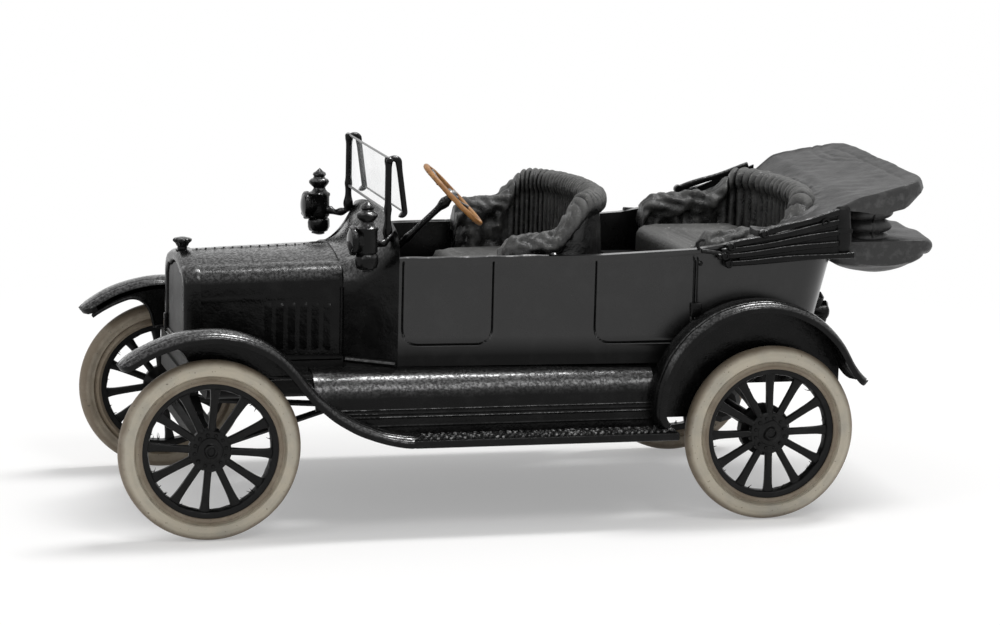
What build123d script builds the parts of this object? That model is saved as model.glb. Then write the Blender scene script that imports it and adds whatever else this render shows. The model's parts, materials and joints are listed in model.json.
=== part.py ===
from build123d import *
import math
import os

# A 1:87 scale model of an open touring car of the brass era, in millimetres.
# X runs rearward from the front axle, Y to the car's right and Z up from the ground.
# The finished pieces are moved so that X = 0 lies at the middle of the length.

# Wheels and axles
wheelbase = 29.2
track = 16.44
tyre_radius = 4.57
tyre_width = 0.98
tyre_section_sides = 8
rim_radius = 3.66
felloe_depth = 0.5
felloe_width = 0.62
felloe_sides = 36
spoke_count = 12
spoke_hub_width = 0.26
spoke_rim_width = 0.36
spoke_thickness = 0.3
hub_flange_radius = 1.05
hub_flange_thickness = 0.42
hub_flange_sides = 24
hub_barrel_radius = 0.52
hub_barrel_length = 0.45
hub_cap_radius = 0.38
hub_cap_height = 0.34
hub_cap_top_radius = 0.25
stub_radius = 0.22
stub_clearance = 0.05
stub_length = 0.72
stub_end_gap = 0.1
knuckle_radius = 0.36
knuckle_height = 1.1
knuckle_gap = 0.14
axle_beam_height = 0.5
axle_beam_width = 0.45
axle_drop = 0.4
axle_drop_run = 0.8
perch_inset = 1.0
perch_height = 0.3
perch_width = 0.5
steering_arm_length = 0.95
steering_arm_thickness = 0.26
tie_rod_radius = 0.14
rear_tube_radius = 0.4
diff_radius = 1.12
diff_width = 1.7
diff_chamfer = 0.35
drum_radius = 1.35
drum_width = 0.55
drum_gap = 0.12
torque_tube_radius = 0.34
radius_rod_radius = 0.17
radius_rod_ball = 0.34
thin_rod_sides = 6
turned_sides = 12
drum_sides = 24

# Springs
leaf_count = 3
leaf_thickness = 0.2
leaf_width = 0.5
leaf_step = 1.7

# Frame
frame_top = 7.6
frame_depth = 0.95
frame_front = -0.75
frame_rear = 31.4
rail_centre = 3.3
rail_width = 0.5
cross_width = 0.8
sump_front = 0.9
sump_rear = 8.6
sump_half_width = 1.55
sump_bottom = 5.6
sump_round = 0.7

# Body
sill_height = 8.1
wall = 0.45
dash_x = 9.9
body_half_front = 6.1
body_half_middle = 6.62
body_half_rear = 6.98
body_middle_x = 20.0
body_wide_x = 27.0
body_corner_x = 31.2
body_corner_half = 6.75
body_rear_low_x = 31.9
body_rear_high_x = 33.7
body_rear_bow = 0.3
body_rear_half = 4.7
belt_front = 13.53
belt_middle = 13.62
belt_door = 13.9
belt_rear = 14.3
belt_tail = 14.55
belt_door_x = 25.3
belt_rear_x = 27.7
door_bottom = 9.2
door_groove = 0.13
door_groove_depth = 0.1
door_corner = 0.8
front_door_x = 10.1
front_door_length = 4.64
rear_door_x = 20.1
rear_door_length = 5.22
door_groove_drop = 0.35

# Bonnet, radiator and cowl
radiator_front = -0.62
bonnet_front = 0.2
bonnet_rear = 7.4
bonnet_bottom = 8.4
bonnet_half_front = 3.45
bonnet_half_rear = 4.12
bonnet_hinge_front = 11.7
bonnet_hinge_rear = 12.1
bonnet_shoulder_half_front = 2.4
bonnet_shoulder_half_rear = 2.95
bonnet_shoulder_drop = 0.42
bonnet_top_front = 13.28
bonnet_top_rear = 13.52
bonnet_sill_half = 4.6
louvre_count = 6
louvre_first_x = 3.62
louvre_pitch = 0.6
louvre_length = 0.36
louvre_rise = 0.14
louvre_bottom = 8.75
louvre_top = 11.05
core_inset = 0.42
core_recess = 0.14
cap_radius = 0.3
cap_flare = 0.46
cap_height = 0.95
cap_neck_height = 0.3
cap_x = -0.2
cowl_lip = 0.08
cowl_hinge_front = 11.4
cowl_shoulder_half = 4.95
cowl_shoulder_height = 15.05
cowl_top_height = 15.6
cowl_flare_power = 2.2
cowl_sections = 5

# Windscreen
post_half = 4.97
post_x = 9.62
post_top = 18.62
post_size = 0.3
post_foot = 0.5
pane_thickness = 0.12
pane_gap = 0.25
pane_top_drop = 0.12
fold_gap = 0.36
fold_bottom_x = 10.42
fold_bottom_gap = 0.15

# Steering
steering_side = -2.6
steering_hub_x = 13.45
steering_hub_height = 16.38
steering_slope = 45.0
steering_rim_radius = 2.0
steering_rim_thickness = 0.17
steering_spoke_radius = 0.1
steering_spoke_count = 4
steering_spoke_turn = 45.0
steering_rim_sides = 6
steering_hub_radius = 0.4
steering_hub_thickness = 0.3
column_radius = 0.2

# Side lamps
lamp_x = 8.16
lamp_half = 6.28
lamp_bottom = 13.05
lamp_font_radius = 0.58
lamp_body_radius = 0.54
lamp_crown_radius = 0.46
lamp_neck_radius = 0.34
lamp_foot_radius = 0.46
lamp_tip_radius = 0.05
lamp_collar_radius = 0.4
lamp_lens_share = 0.44
lamp_height = 3.6
lamp_lens_radius = 0.72
lamp_lens_depth = 1.0
lamp_lens_start = 0.5
lamp_lens_neck = 0.3
lamp_lens_bulge = 0.22
lamp_lens_face_radius = 0.5
lamp_arm_radius = 0.16
tail_lamp_radius = 0.36
tail_lamp_length = 0.55
tail_lamp_side = -3.6
tail_lamp_height = 10.1

# Fenders, running boards and splash aprons
fender_centre = 8.05
fender_half_width = 1.1
fender_crown = 0.34
fender_thickness = 0.26
fender_nose_corner = 0.75
front_tip_x = -4.42
front_tip_height = 8.7
front_crest_x = 0.0
front_crest_height = 10.3
front_fall_x = 4.35
front_fall_height = 8.05
board_front = 10.2
board_rear = 24.1
board_top = 4.9
board_thickness = 0.42
board_inner = 7.15
rear_foot_inset = 0.55
rear_front_inset = 1.0
rear_front_height = 1.0
rear_turn_x = 33.25
rear_turn_height = 8.3
rear_tail_x = 34.2
rear_tail_height = 7.1
apron_thickness = 0.25
apron_edge = 6.55
apron_roll = 1.2
apron_shelf_inner = 5.6
valance_thickness = 0.25
valance_front = -0.9
valance_rear = 5.4
valance_height = 8.0
valance_nose_rise = 1.2
valance_nose_inset = 0.3
arch_wall_bottom = 7.0

# Seats
seat_half = 5.75
seat_gap = 0.05
front_cushion_front = 14.1
front_riser_rear = 19.4
front_cushion_top = 14.0
cushion_depth = 2.4
cushion_roll = 1.0
seat_riser_inset = 0.5
front_back_front = 15.2
front_back_rear = 21.5
front_back_top = 17.1
front_arm_top = 14.35
front_back_crest_x = 19.7
seat_back_thickness = 1.35
rear_cushion_front = 23.2
rear_riser_rear = 29.7
rear_cushion_top = 14.5
rear_back_front = 26.2
rear_back_rear = 33.0
rear_back_top = 16.75
rear_arm_top = 14.9
rear_back_crest_x = 31.0

# Folded top and its irons
top_overhang = 0.07
top_half_rear = 5.7
top_front = 28.6
top_knee_x = 32.9
top_rear = 38.15
top_front_rise = 0.2
top_knee_rise = 1.5
top_rear_rise = 1.3
top_sheet = 0.75
top_clearance = 0.08
fold_rear = 36.9
fold_inset = 0.45
lobe_gap = 0.2
lobe_rear = 39.3
lobe_drop = 0.2
lobe_tip_drop = 0.45
lobe_depth = 2.15
lobe_half = 5.9
lobe_taper = 1.0
iron_gap = 0.14
iron_thickness = 0.3
iron_height = 0.42
iron_pitch = 1.0
iron_front = 26.6
iron_eye = 0.3
iron_eye_thickness = 0.45
iron_plate_length = 1.0

# Reach of the cutting shapes past what they cut
overrun = 1.0

# Derived sizes
rear_axle_x = wheelbase
wheel_half = track / 2
front_end_x = front_tip_x
middle_x = (front_end_x + lobe_rear) / 2
hub_inner_half = wheel_half - hub_barrel_length
knuckle_half = hub_inner_half - knuckle_gap - knuckle_radius
stub_end_half = hub_inner_half + stub_length
drum_half = hub_inner_half - drum_gap - drum_width
pane_bottom = cowl_top_height + pane_gap
fold_bottom = cowl_top_height + fold_bottom_gap
top_half_front = body_half_rear + top_overhang
iron_inner = body_half_rear + iron_gap
top_front_height = belt_tail + top_front_rise
top_knee_height = belt_tail + top_knee_rise
top_rear_height = top_knee_height + top_rear_rise
lobe_front = body_rear_high_x + body_rear_bow + lobe_gap
lobe_high = belt_tail - lobe_drop
iron_bars = (
    (top_front, top_front_height, top_knee_height),
    (iron_front, belt_rear, belt_tail + iron_height),
    (iron_front, belt_rear - iron_pitch, belt_tail - iron_pitch),
)
frame_bottom = frame_top - frame_depth

standing = (Align.CENTER, Align.CENTER, Align.MIN)


def both_sides(left):
    """The left piece and its mirror image on the right."""
    return left + mirror(left, about=Plane.XZ)


def box_between(low, high):
    """A box from its low corner to its high corner."""
    size = [b - a for a, b in zip(low, high)]
    return Pos(*low) * Box(*size, align=(Align.MIN, Align.MIN, Align.MIN))


def rod(start, end, radius):
    """A round rod between two points."""
    line = Vector(*end) - Vector(*start)
    plane = Plane(origin=start, z_dir=line)
    return plane * Cylinder(radius, line.length, align=standing)


def thin_rod(start, end, radius, sides=thin_rod_sides):
    """A rod between two points with flat sides, where a round face would not show."""
    line = Vector(*end) - Vector(*start)
    plane = Plane(origin=start, z_dir=line)
    return plane * extrude(RegularPolygon(radius, sides), line.length)


def turned(stations):
    """A form about the Z axis, ruled between regular polygons given by their radius and height."""
    sections = [Pos(0, 0, height) * RegularPolygon(radius, turned_sides) for radius, height in stations]
    return loft(sections, ruled=True)


def side_plate(points, near_half, far_half):
    """An outline in X and Z on the left side, extruded between two half widths."""
    face = make_face(Polyline(*points, close=True))
    plate = extrude(Plane.XZ * face, far_half - near_half)
    return Pos(0, -near_half, 0) * plate


def on_wheel(side, axle_x):
    """Place of a wheel whose own Z axis points outward; side is -1 for the left."""
    return Pos(axle_x, side * wheel_half, tyre_radius) * Rot(-90 * side, 0, 0)


def tyre():
    """A ring of nearly round section, flat where it seats on the rim."""
    ring_radius = tyre_radius - tyre_width / 2
    half_turn = 180 / tyre_section_sides
    round_face = RegularPolygon(tyre_width / 2, tyre_section_sides, major_radius=False, rotation=half_turn)
    section = Pos(ring_radius, 0) * round_face
    seat = Pos(rim_radius / 2, 0) * Rectangle(rim_radius, tyre_width)
    return revolve(Plane.XZ * (section - seat), Axis.Z)


def wheel():
    """Felloe, tapered spokes, flanged hub and cap, with a blind bore from the inner side."""
    felloe_inner = rim_radius - felloe_depth
    felloe_face = Circle(rim_radius) - RegularPolygon(felloe_inner, felloe_sides)
    body = Pos(0, 0, -felloe_width / 2) * extrude(felloe_face, felloe_width)
    spoke_end = felloe_inner + felloe_depth / 2
    outline = [
        (0, -spoke_hub_width / 2), (spoke_end, -spoke_rim_width / 2),
        (spoke_end, spoke_rim_width / 2), (0, spoke_hub_width / 2),
    ]
    face = make_face(Polyline(*outline, close=True))
    spoke = Pos(0, 0, -spoke_thickness / 2) * extrude(face, spoke_thickness)
    for turn in range(spoke_count):
        body += Rot(0, 0, 360 * turn / spoke_count) * spoke
    flange_top = hub_flange_thickness / 2
    flange_face = RegularPolygon(hub_flange_radius, hub_flange_sides)
    body += Pos(0, 0, -flange_top) * extrude(flange_face, hub_flange_thickness)
    body += thin_rod((0, 0, -hub_barrel_length), (0, 0, 0), hub_barrel_radius)
    body += turned([(hub_cap_radius, 0), (hub_cap_radius, flange_top),
                    (hub_cap_top_radius, flange_top + hub_cap_height)])
    bore_end = stub_length + stub_end_gap - hub_barrel_length
    return body - rod((0, 0, -hub_barrel_length), (0, 0, bore_end), stub_radius + stub_clearance)


def front_axle():
    """Dropped beam with spring perches, knuckles, stubs, steering arms and the rod between them."""
    beam_low = tyre_radius - axle_drop - axle_beam_height / 2
    outline = []
    for side in (-1, 1):
        outline += [
            (side * (knuckle_half - axle_drop_run), beam_low),
            (side * knuckle_half, beam_low + axle_drop),
        ]
    outline = [outline[1], outline[0], outline[2], outline[3]]
    upper = [(y, z + axle_beam_height) for y, z in reversed(outline)]
    face = make_face(Polyline(*outline, *upper, close=True))
    axle = extrude(Plane.YZ * face, axle_beam_width / 2, both=True)
    perch_half = knuckle_half - perch_inset
    perch_low = beam_low + axle_beam_height / 2
    perch = Box(perch_width, perch_width, axle_beam_height / 2 + perch_height, align=standing)
    arm_half = knuckle_half - steering_arm_thickness / 2
    arm_rear = knuckle_radius / 2 + steering_arm_length
    arm = box_between(
        (knuckle_radius / 2, -steering_arm_thickness / 2, tyre_radius - steering_arm_thickness / 2),
        (arm_rear, steering_arm_thickness / 2, tyre_radius + steering_arm_thickness / 2),
    )
    for side in (-1, 1):
        knuckle_place = (0, side * knuckle_half, tyre_radius)
        knuckle = extrude(RegularPolygon(knuckle_radius, turned_sides), knuckle_height / 2, both=True)
        axle += Pos(*knuckle_place) * knuckle
        axle += rod(knuckle_place, (0, side * stub_end_half, tyre_radius), stub_radius)
        axle += Pos(0, side * perch_half, perch_low) * perch
        axle += Pos(0, side * arm_half, 0) * arm
    rod_x = arm_rear - tie_rod_radius
    return axle + thin_rod((rod_x, -arm_half, tyre_radius), (rod_x, arm_half, tyre_radius), tie_rod_radius)


def leaf_spring(axle_x, half_span, end_height, top_height):
    """An arched pack of leaves across the car, the longest lowest."""
    spring = None
    rise = top_height - leaf_count * leaf_thickness - end_height
    radius = (half_span ** 2 + rise ** 2) / (2 * rise)
    centre_z = end_height + rise - radius
    for leaf in range(leaf_count):
        inner = radius + leaf * leaf_thickness
        outer = inner + leaf_thickness
        half = half_span - leaf * leaf_step
        ring = Circle(outer) - Circle(inner)
        window = Pos(0, outer / 2) * Rectangle(2 * half, outer)
        face = Pos(0, centre_z) * (ring & window)
        plate = extrude(Plane.YZ * face, leaf_width / 2, both=True)
        spring = plate if spring is None else spring + plate
    return Pos(axle_x, 0, 0) * spring


def front_spring():
    """Front leaf spring, from the axle perches up to the front cross member."""
    beam_high = tyre_radius - axle_drop + axle_beam_height / 2
    return leaf_spring(0, knuckle_half - perch_inset, beam_high + perch_height, frame_bottom)


def rear_axle():
    """Axle tube with differential case, brake drums and stubs."""
    tube_ends = ((0, -drum_half, tyre_radius), (0, drum_half, tyre_radius))
    axle = thin_rod(*tube_ends, rear_tube_radius, turned_sides)
    half = diff_width / 2
    case = turned([
        (diff_radius - diff_chamfer, -half), (diff_radius, diff_chamfer - half),
        (diff_radius, half - diff_chamfer), (diff_radius - diff_chamfer, half),
    ])
    axle += Pos(0, 0, tyre_radius) * (Rot(90, 0, 0) * case)
    perch_half = drum_half - perch_inset
    perch = Box(perch_width, perch_width, rear_tube_radius + perch_height, align=standing)
    for side in (-1, 1):
        drum_start = (0, side * drum_half, tyre_radius)
        drum_end = (0, side * (drum_half + drum_width), tyre_radius)
        axle += thin_rod(drum_start, drum_end, drum_radius, drum_sides)
        axle += rod(drum_start, (0, side * stub_end_half, tyre_radius), stub_radius)
        axle += Pos(0, side * perch_half, tyre_radius) * perch
    return Pos(rear_axle_x, 0, 0) * axle


def rear_spring():
    """Rear leaf spring, from the axle perches up to the rear cross member."""
    end_height = tyre_radius + rear_tube_radius + perch_height
    return leaf_spring(rear_axle_x, drum_half - perch_inset, end_height, frame_bottom)


def drive_shaft():
    """Torque tube from the gearbox to the differential case."""
    start = (sump_rear, 0, sump_bottom + torque_tube_radius)
    end = (rear_axle_x, 0, tyre_radius)
    tube = thin_rod(start, end, torque_tube_radius, turned_sides)
    tube -= rear_axle()
    return tube - engine_sump()


def radius_rods():
    """Two rods from the front axle to a ball under the gearbox."""
    ball_x = sump_rear - radius_rod_ball
    ball_z = sump_bottom - radius_rod_ball * 2
    beam_z = tyre_radius - axle_drop
    ball = turned([
        (radius_rod_ball / 2, -radius_rod_ball), (radius_rod_ball, -radius_rod_ball / 2),
        (radius_rod_ball, radius_rod_ball / 2), (radius_rod_ball / 2, radius_rod_ball),
    ])
    rods = Pos(ball_x, 0, ball_z) * ball
    rods += thin_rod((ball_x, 0, ball_z), (ball_x, 0, sump_bottom), radius_rod_radius)
    for side in (-1, 1):
        start = (axle_beam_width / 2, side * (knuckle_half - perch_inset), beam_z)
        rods += thin_rod(start, (ball_x, 0, ball_z), radius_rod_radius)
    return rods - front_axle()


def chassis_frame():
    """Two rails, their cross members and the shelf that carries radiator and bonnet."""
    frame = None
    for side in (-1, 1):
        y = side * rail_centre
        rail = box_between(
            (frame_front, y - rail_width / 2, frame_bottom), (frame_rear, y + rail_width / 2, frame_top)
        )
        frame = rail if frame is None else frame + rail
    half = rail_centre + rail_width / 2
    for x in (frame_front, sump_rear, rear_axle_x - cross_width / 2):
        frame += box_between((x, -half, frame_bottom), (x + cross_width, half, frame_top))
    spring_seat = leaf_width / 2
    frame += box_between((-spring_seat, -half, frame_bottom), (spring_seat, half, frame_top))
    shelf = box_between(
        (radiator_front, -bonnet_sill_half, frame_top), (bonnet_rear, bonnet_sill_half, bonnet_bottom)
    )
    return frame + shelf - engine_sump()


def engine_sump():
    """Block of crankcase and gearbox under the bonnet, rounded below."""
    block = box_between((sump_front, -sump_half_width, sump_bottom), (sump_rear, sump_half_width, frame_top))
    low_edges = block.edges().filter_by(Axis.X).sort_by(Axis.Z)[:2]
    return fillet(low_edges, sump_round)


def arched_section(x, half, hinge, shoulder_half, shoulder, top, bottom):
    """A bonnet section across the car: upright sides, round shoulders and a low arch."""
    lean_share = 0.3
    corner = (half - (half - shoulder_half) * lean_share, hinge + (shoulder - hinge) * (1 - lean_share))
    edges = [
        Line((-half, bottom), (half, bottom)),
        Line((half, bottom), (half, hinge)),
        ThreePointArc((half, hinge), corner, (shoulder_half, shoulder)),
        ThreePointArc((shoulder_half, shoulder), (0, top), (-shoulder_half, shoulder)),
        ThreePointArc((-shoulder_half, shoulder), (-corner[0], corner[1]), (-half, hinge)),
        Line((-half, hinge), (-half, bottom)),
    ]
    return Pos(x, 0, 0) * (Plane.YZ * make_face(edges))


def bonnet_section(x, grow, bottom=bonnet_bottom):
    """The bonnet's section at a place along it, larger at its sides and top by grow."""
    share = (x - bonnet_front) / (bonnet_rear - bonnet_front)

    def mix(front, rear):
        return front + (rear - front) * share

    top = mix(bonnet_top_front, bonnet_top_rear) + grow
    return arched_section(
        x, mix(bonnet_half_front, bonnet_half_rear) + grow, mix(bonnet_hinge_front, bonnet_hinge_rear),
        mix(bonnet_shoulder_half_front, bonnet_shoulder_half_rear) + grow, top - bonnet_shoulder_drop, top,
        bottom,
    )


def bonnet():
    """Solid bonnet with a row of wedge-shaped louvres on each side."""
    body = loft([bonnet_section(bonnet_front, 0), bonnet_section(bonnet_rear, 0)], ruled=True)
    run = bonnet_rear - bonnet_front
    for index in range(louvre_count):
        x = louvre_first_x + louvre_pitch * index
        half = bonnet_half_front + (bonnet_half_rear - bonnet_half_front) * (x - bonnet_front) / run
        wedge = [
            (x - louvre_length / 2, half), (x + louvre_length / 2, half + louvre_rise),
            (x + louvre_length / 2, half - louvre_rise), (x - louvre_length / 2, half - louvre_rise),
        ]
        louvre = extrude(make_face(Polyline(*wedge, close=True)), louvre_top - louvre_bottom)
        body += both_sides(Pos(0, 0, louvre_bottom) * louvre)
    return body


def core_opening():
    """Outline of the core inside the shell's rim."""
    return bonnet_section(radiator_front, -core_inset - core_inset / 2, bonnet_bottom + core_inset)


def radiator_shell():
    """Shell in front of the bonnet, narrower at its face, open for the core."""
    rim = bonnet_section(bonnet_front, cowl_lip)
    face = bonnet_section(radiator_front, -core_inset / 2)
    shell = loft([face, rim], ruled=True)
    return shell - extrude(core_opening(), core_recess * 2, both=True)


def radiator_core():
    """Flat core that fills the shell's opening, set back from its face."""
    core = extrude(core_opening(), core_recess / 2, both=True)
    return Pos(core_recess + core_recess / 2, 0, 0) * core


def radiator_cap():
    """Filler neck and flared cap."""
    shell_top = bonnet_top_front
    points = [
        (0, shell_top), (cap_radius, shell_top), (cap_radius, shell_top + cap_neck_height),
        (cap_flare, shell_top + cap_height), (0, shell_top + cap_height),
    ]
    cap = revolve(Plane.XZ * make_face(Polyline(*points, close=True)), Axis.Z)
    return Pos(cap_x, 0, 0) * cap - radiator_shell()


def cowl_loft(inset):
    """The concave flare from the bonnet to the body, as a solid, smaller by inset."""
    sections = []
    for index in range(cowl_sections):
        share = index / (cowl_sections - 1)
        flare = share ** cowl_flare_power
        x = bonnet_rear + (dash_x - bonnet_rear) * share
        half = bonnet_half_rear + (body_half_front - bonnet_half_rear) * share - inset
        hinge = cowl_hinge_front + (belt_front - cowl_hinge_front) * share
        shoulder_half = bonnet_shoulder_half_rear + (cowl_shoulder_half - bonnet_shoulder_half_rear) * flare
        top = bonnet_top_rear + cowl_lip + (cowl_top_height - bonnet_top_rear - cowl_lip) * flare
        shoulder_rear_drop = cowl_top_height - cowl_shoulder_height
        drop = bonnet_shoulder_drop + (shoulder_rear_drop - bonnet_shoulder_drop) * flare
        section = arched_section(
            x, half, hinge, shoulder_half - inset, top - drop - inset, top - inset, sill_height - inset
        )
        sections.append(section)
    return loft(sections, ruled=True)


def cowl():
    """Hollow cowl, closed by a firewall at its front."""
    cut_front = bonnet_rear + wall
    inner = cowl_loft(wall)
    behind = box_between(
        (cut_front, -body_half_rear, 0), (dash_x + overrun, body_half_rear, post_top)
    )
    return cowl_loft(0) - (inner & behind)


def body_outline(height, rear_x, inset, front_x):
    """The body's plan at one height, smaller by inset."""
    right = [
        (front_x, body_half_front - inset), (body_middle_x, body_half_middle - inset),
        (body_wide_x, body_half_rear - inset), (body_corner_x, body_corner_half - inset),
    ]
    rear = (rear_x - inset, body_rear_half - inset / 2)
    round_share = 0.72
    bend = (
        body_corner_x + (rear[0] - body_corner_x) * round_share,
        rear[1] + (body_corner_half - inset - rear[1]) * round_share,
    )
    edges = [Line(a, b) for a, b in zip(right, right[1:])]
    edges.append(ThreePointArc(right[-1], bend, rear))
    edges.append(ThreePointArc(rear, (rear[0] + body_rear_bow, 0), (rear[0], -rear[1])))
    edges.append(ThreePointArc((rear[0], -rear[1]), (bend[0], -bend[1]), (right[-1][0], -right[-1][1])))
    left = [(x, -y) for x, y in reversed(right)]
    edges += [Line(a, b) for a, b in zip(left, left[1:])]
    edges.append(Line(left[-1], right[0]))
    return Pos(0, 0, height) * make_face(edges)


def body_block(inset, low, front_x):
    """The body's outer form as a tall solid, smaller by inset, leaning back at the tail."""
    lean = (body_rear_high_x - body_rear_low_x) / (belt_tail - sill_height)
    ends = []
    for height in (low, post_top):
        rear_x = body_rear_low_x + lean * (height - sill_height)
        ends.append(body_outline(height, rear_x, inset, front_x))
    return loft(ends, ruled=True)


def above_belt():
    """Everything above the line of the body's top edge."""
    high = post_top + overrun
    points = [
        (dash_x - overrun, belt_front), (body_middle_x, belt_middle), (belt_door_x, belt_door),
        (belt_rear_x, belt_rear), (lobe_rear, belt_tail), (lobe_rear, high), (dash_x - overrun, high),
    ]
    face = make_face(Polyline(*points, close=True))
    return extrude(Plane.XZ * face, body_half_rear + overrun, both=True)


def door_ring(x, length):
    """A thin ring around a door, with round lower corners, through both sides of the body."""
    high = belt_middle - door_groove_drop
    outer = RectangleRounded(length, 2 * (high - door_bottom), door_corner)
    inner = RectangleRounded(
        length - 2 * door_groove, 2 * (high - door_bottom) - 2 * door_groove, door_corner - door_groove
    )
    window = Pos(0, -(high - door_bottom) / 2) * Rectangle(length, high - door_bottom)
    face = Pos(x + length / 2, high) * ((outer - inner) & window)
    return extrude(Plane.XZ * face, body_half_rear + overrun, both=True)


def body_tub():
    """Hollow tub with open top and front, and the lines of its doors."""
    outer = body_block(0, sill_height, dash_x)
    tub = outer - body_block(wall, sill_height - overrun, dash_x - overrun) - above_belt()
    skin = outer - body_block(door_groove_depth, sill_height - overrun, dash_x)
    for x, length in ((front_door_x, front_door_length), (rear_door_x, rear_door_length)):
        tub -= door_ring(x, length) & skin
    return tub


def floor():
    """Floor plate between the splash aprons, with the boxes that carry the seat cushions."""
    plate = box_between(
        (bonnet_rear, -apron_shelf_inner, frame_top), (body_rear_low_x, apron_shelf_inner, sill_height)
    )
    plate = plate & body_block(0, frame_top, bonnet_rear)
    half = seat_half - seat_back_thickness / 2
    risers = (
        (front_cushion_front, front_riser_rear, front_cushion_top),
        (rear_cushion_front, rear_riser_rear, rear_cushion_top),
    )
    for front_x, rear_x, top in risers:
        low = (front_x + seat_riser_inset, -half, sill_height)
        plate += box_between(low, (rear_x, half, top - cushion_depth))
    return plate


def arc_ending(start, end, end_angle):
    """Arc between two points that arrives at its end with a given direction."""
    chord = math.atan2(end[1] - start[1], end[0] - start[0])
    start_angle = 2 * chord - math.radians(end_angle)
    return TangentArc(start, end, tangent=(math.cos(start_angle), math.sin(start_angle)))


def front_fender_path():
    """Run of the front fender seen from the side: nose, crest, fall and sweep into the board."""
    tip = (front_tip_x, front_tip_height)
    crest = (front_crest_x, front_crest_height)
    fall = (front_fall_x, front_fall_height)
    foot = (board_front, board_top - fender_thickness)
    nose = arc_ending(tip, crest, 0)
    drop = TangentArc(crest, fall, tangent=(1, 0))
    sweep_out = TangentArc(fall, foot, tangent=drop % 1)
    return [nose, drop, sweep_out]


def rear_fender_path():
    """Run of the rear fender seen from the side: foot on the board, arch and tail."""
    foot = (board_rear - rear_foot_inset, board_top + fender_crown)
    turn = (board_rear - rear_front_inset, board_top + rear_front_height)
    far = (rear_turn_x, rear_turn_height)
    rise = arc_ending(foot, turn, 90)
    arch = TangentArc(turn, far, tangent=(0, 1))
    tail = TangentArc(far, (rear_tail_x, rear_tail_height), tangent=arch % 1)
    return [rise, arch, tail]


def fender_sweep(edges):
    """A crowned strip with beaded edges, carried along a side view path on the left."""
    path = Plane.XZ * Curve(edges)
    path = Pos(0, -fender_centre, 0) * path
    upper = ThreePointArc((-fender_half_width, 0), (0, fender_crown), (fender_half_width, 0))
    lower = ThreePointArc(
        (fender_half_width, -fender_thickness), (0, fender_crown - fender_thickness),
        (-fender_half_width, -fender_thickness),
    )
    ends = [
        Line((fender_half_width, 0), (fender_half_width, -fender_thickness)),
        Line((-fender_half_width, -fender_thickness), (-fender_half_width, 0)),
    ]
    section = make_face([upper, ends[0], lower, ends[1]])
    wire = Wire(path.edges())
    start = Plane(origin=wire @ 0, x_dir=(0, 1, 0), z_dir=wire % 0)
    return sweep(start * section, wire)


def under_fender(edges):
    """Everything below a fender's path, as a wide solid on the left."""
    first = edges[0] @ 0
    last = edges[-1] @ 1
    low = -overrun
    closing = Polyline((last.X, last.Y), (last.X, low), (first.X, low), (first.X, first.Y))
    face = make_face([*edges, *closing.edges()])
    return Pos(0, -fender_centre, 0) * extrude(Plane.XZ * face, fender_centre, both=True)


def rounded_nose():
    """Tall prism around the left front fender, its two front corners rounded."""
    plan = [
        (front_tip_x, -fender_half_width), (board_front, -fender_half_width),
        (board_front, fender_half_width), (front_tip_x, fender_half_width),
    ]
    prism = extrude(make_face(Polyline(*plan, close=True)), front_crest_height + overrun)
    corners = prism.edges().filter_by(Axis.Z).group_by(Axis.X)[0]
    return Pos(0, -fender_centre, 0) * fillet(corners, fender_nose_corner)


def front_fender():
    """Left front fender with its rounded nose and inner valance."""
    edges = front_fender_path()
    fender = fender_sweep(edges) & rounded_nose()
    inner = fender_centre - fender_half_width
    nose_x = (valance_front + front_tip_x) / 2
    points = [
        (front_tip_x + valance_nose_inset, front_tip_height), (nose_x, valance_height + valance_nose_rise),
        (valance_front, valance_height), (valance_rear, valance_height),
        (valance_rear, front_crest_height + overrun), (front_tip_x, front_crest_height + overrun),
    ]
    wall_plate = side_plate(points, inner, inner + valance_thickness)
    wall_plate = wall_plate & under_fender(edges)
    shelf = box_between(
        (valance_front, -inner - valance_thickness, valance_height - valance_thickness),
        (valance_rear, -bonnet_sill_half, valance_height),
    )
    return fender + wall_plate + shelf


def rear_fender():
    """Left rear fender with the wall of its wheel arch."""
    edges = rear_fender_path()
    fender = fender_sweep(edges)
    inner = fender_centre - fender_half_width
    plate = box_between(
        (board_rear - rear_front_inset, -inner - valance_thickness, arch_wall_bottom),
        (rear_turn_x, -inner, belt_front),
    )
    fender += plate & under_fender(edges)
    return fender - body_block(0, frame_bottom, dash_x)


def running_board():
    """Left running board."""
    outer = fender_centre + fender_half_width
    low = (board_front, -outer, board_top - board_thickness)
    return box_between(low, (board_rear, -board_inner, board_top))


def splash_apron():
    """Left apron: a shelf beside the sill that rolls down to the running board."""
    top = sill_height
    low = board_top
    edge = apron_edge + apron_roll
    t = apron_thickness
    roll = apron_roll
    outer = [
        Line((-apron_shelf_inner, top), (-apron_edge, top)),
        TangentArc((-apron_edge, top), (-edge, top - roll), tangent=(-1, 0)),
        Line((-edge, top - roll), (-edge, low)),
        Line((-edge, low), (-edge + t, low)),
        Line((-edge + t, low), (-edge + t, top - roll)),
        TangentArc((-edge + t, top - roll), (-apron_edge, top - t), tangent=(0, 1)),
        Line((-apron_edge, top - t), (-apron_shelf_inner, top - t)),
        Line((-apron_shelf_inner, top - t), (-apron_shelf_inner, top)),
    ]
    profile = Plane.YZ * make_face(outer)
    apron_rear = board_rear - rear_front_inset
    apron = Pos(valance_rear, 0, 0) * extrude(profile, apron_rear - valance_rear)
    apron -= under_fender(front_fender_path()) + front_fender()
    apron -= under_fender(rear_fender_path()) + rear_fender()
    return apron.solids().sort_by(SortBy.VOLUME)[-1]


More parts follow.
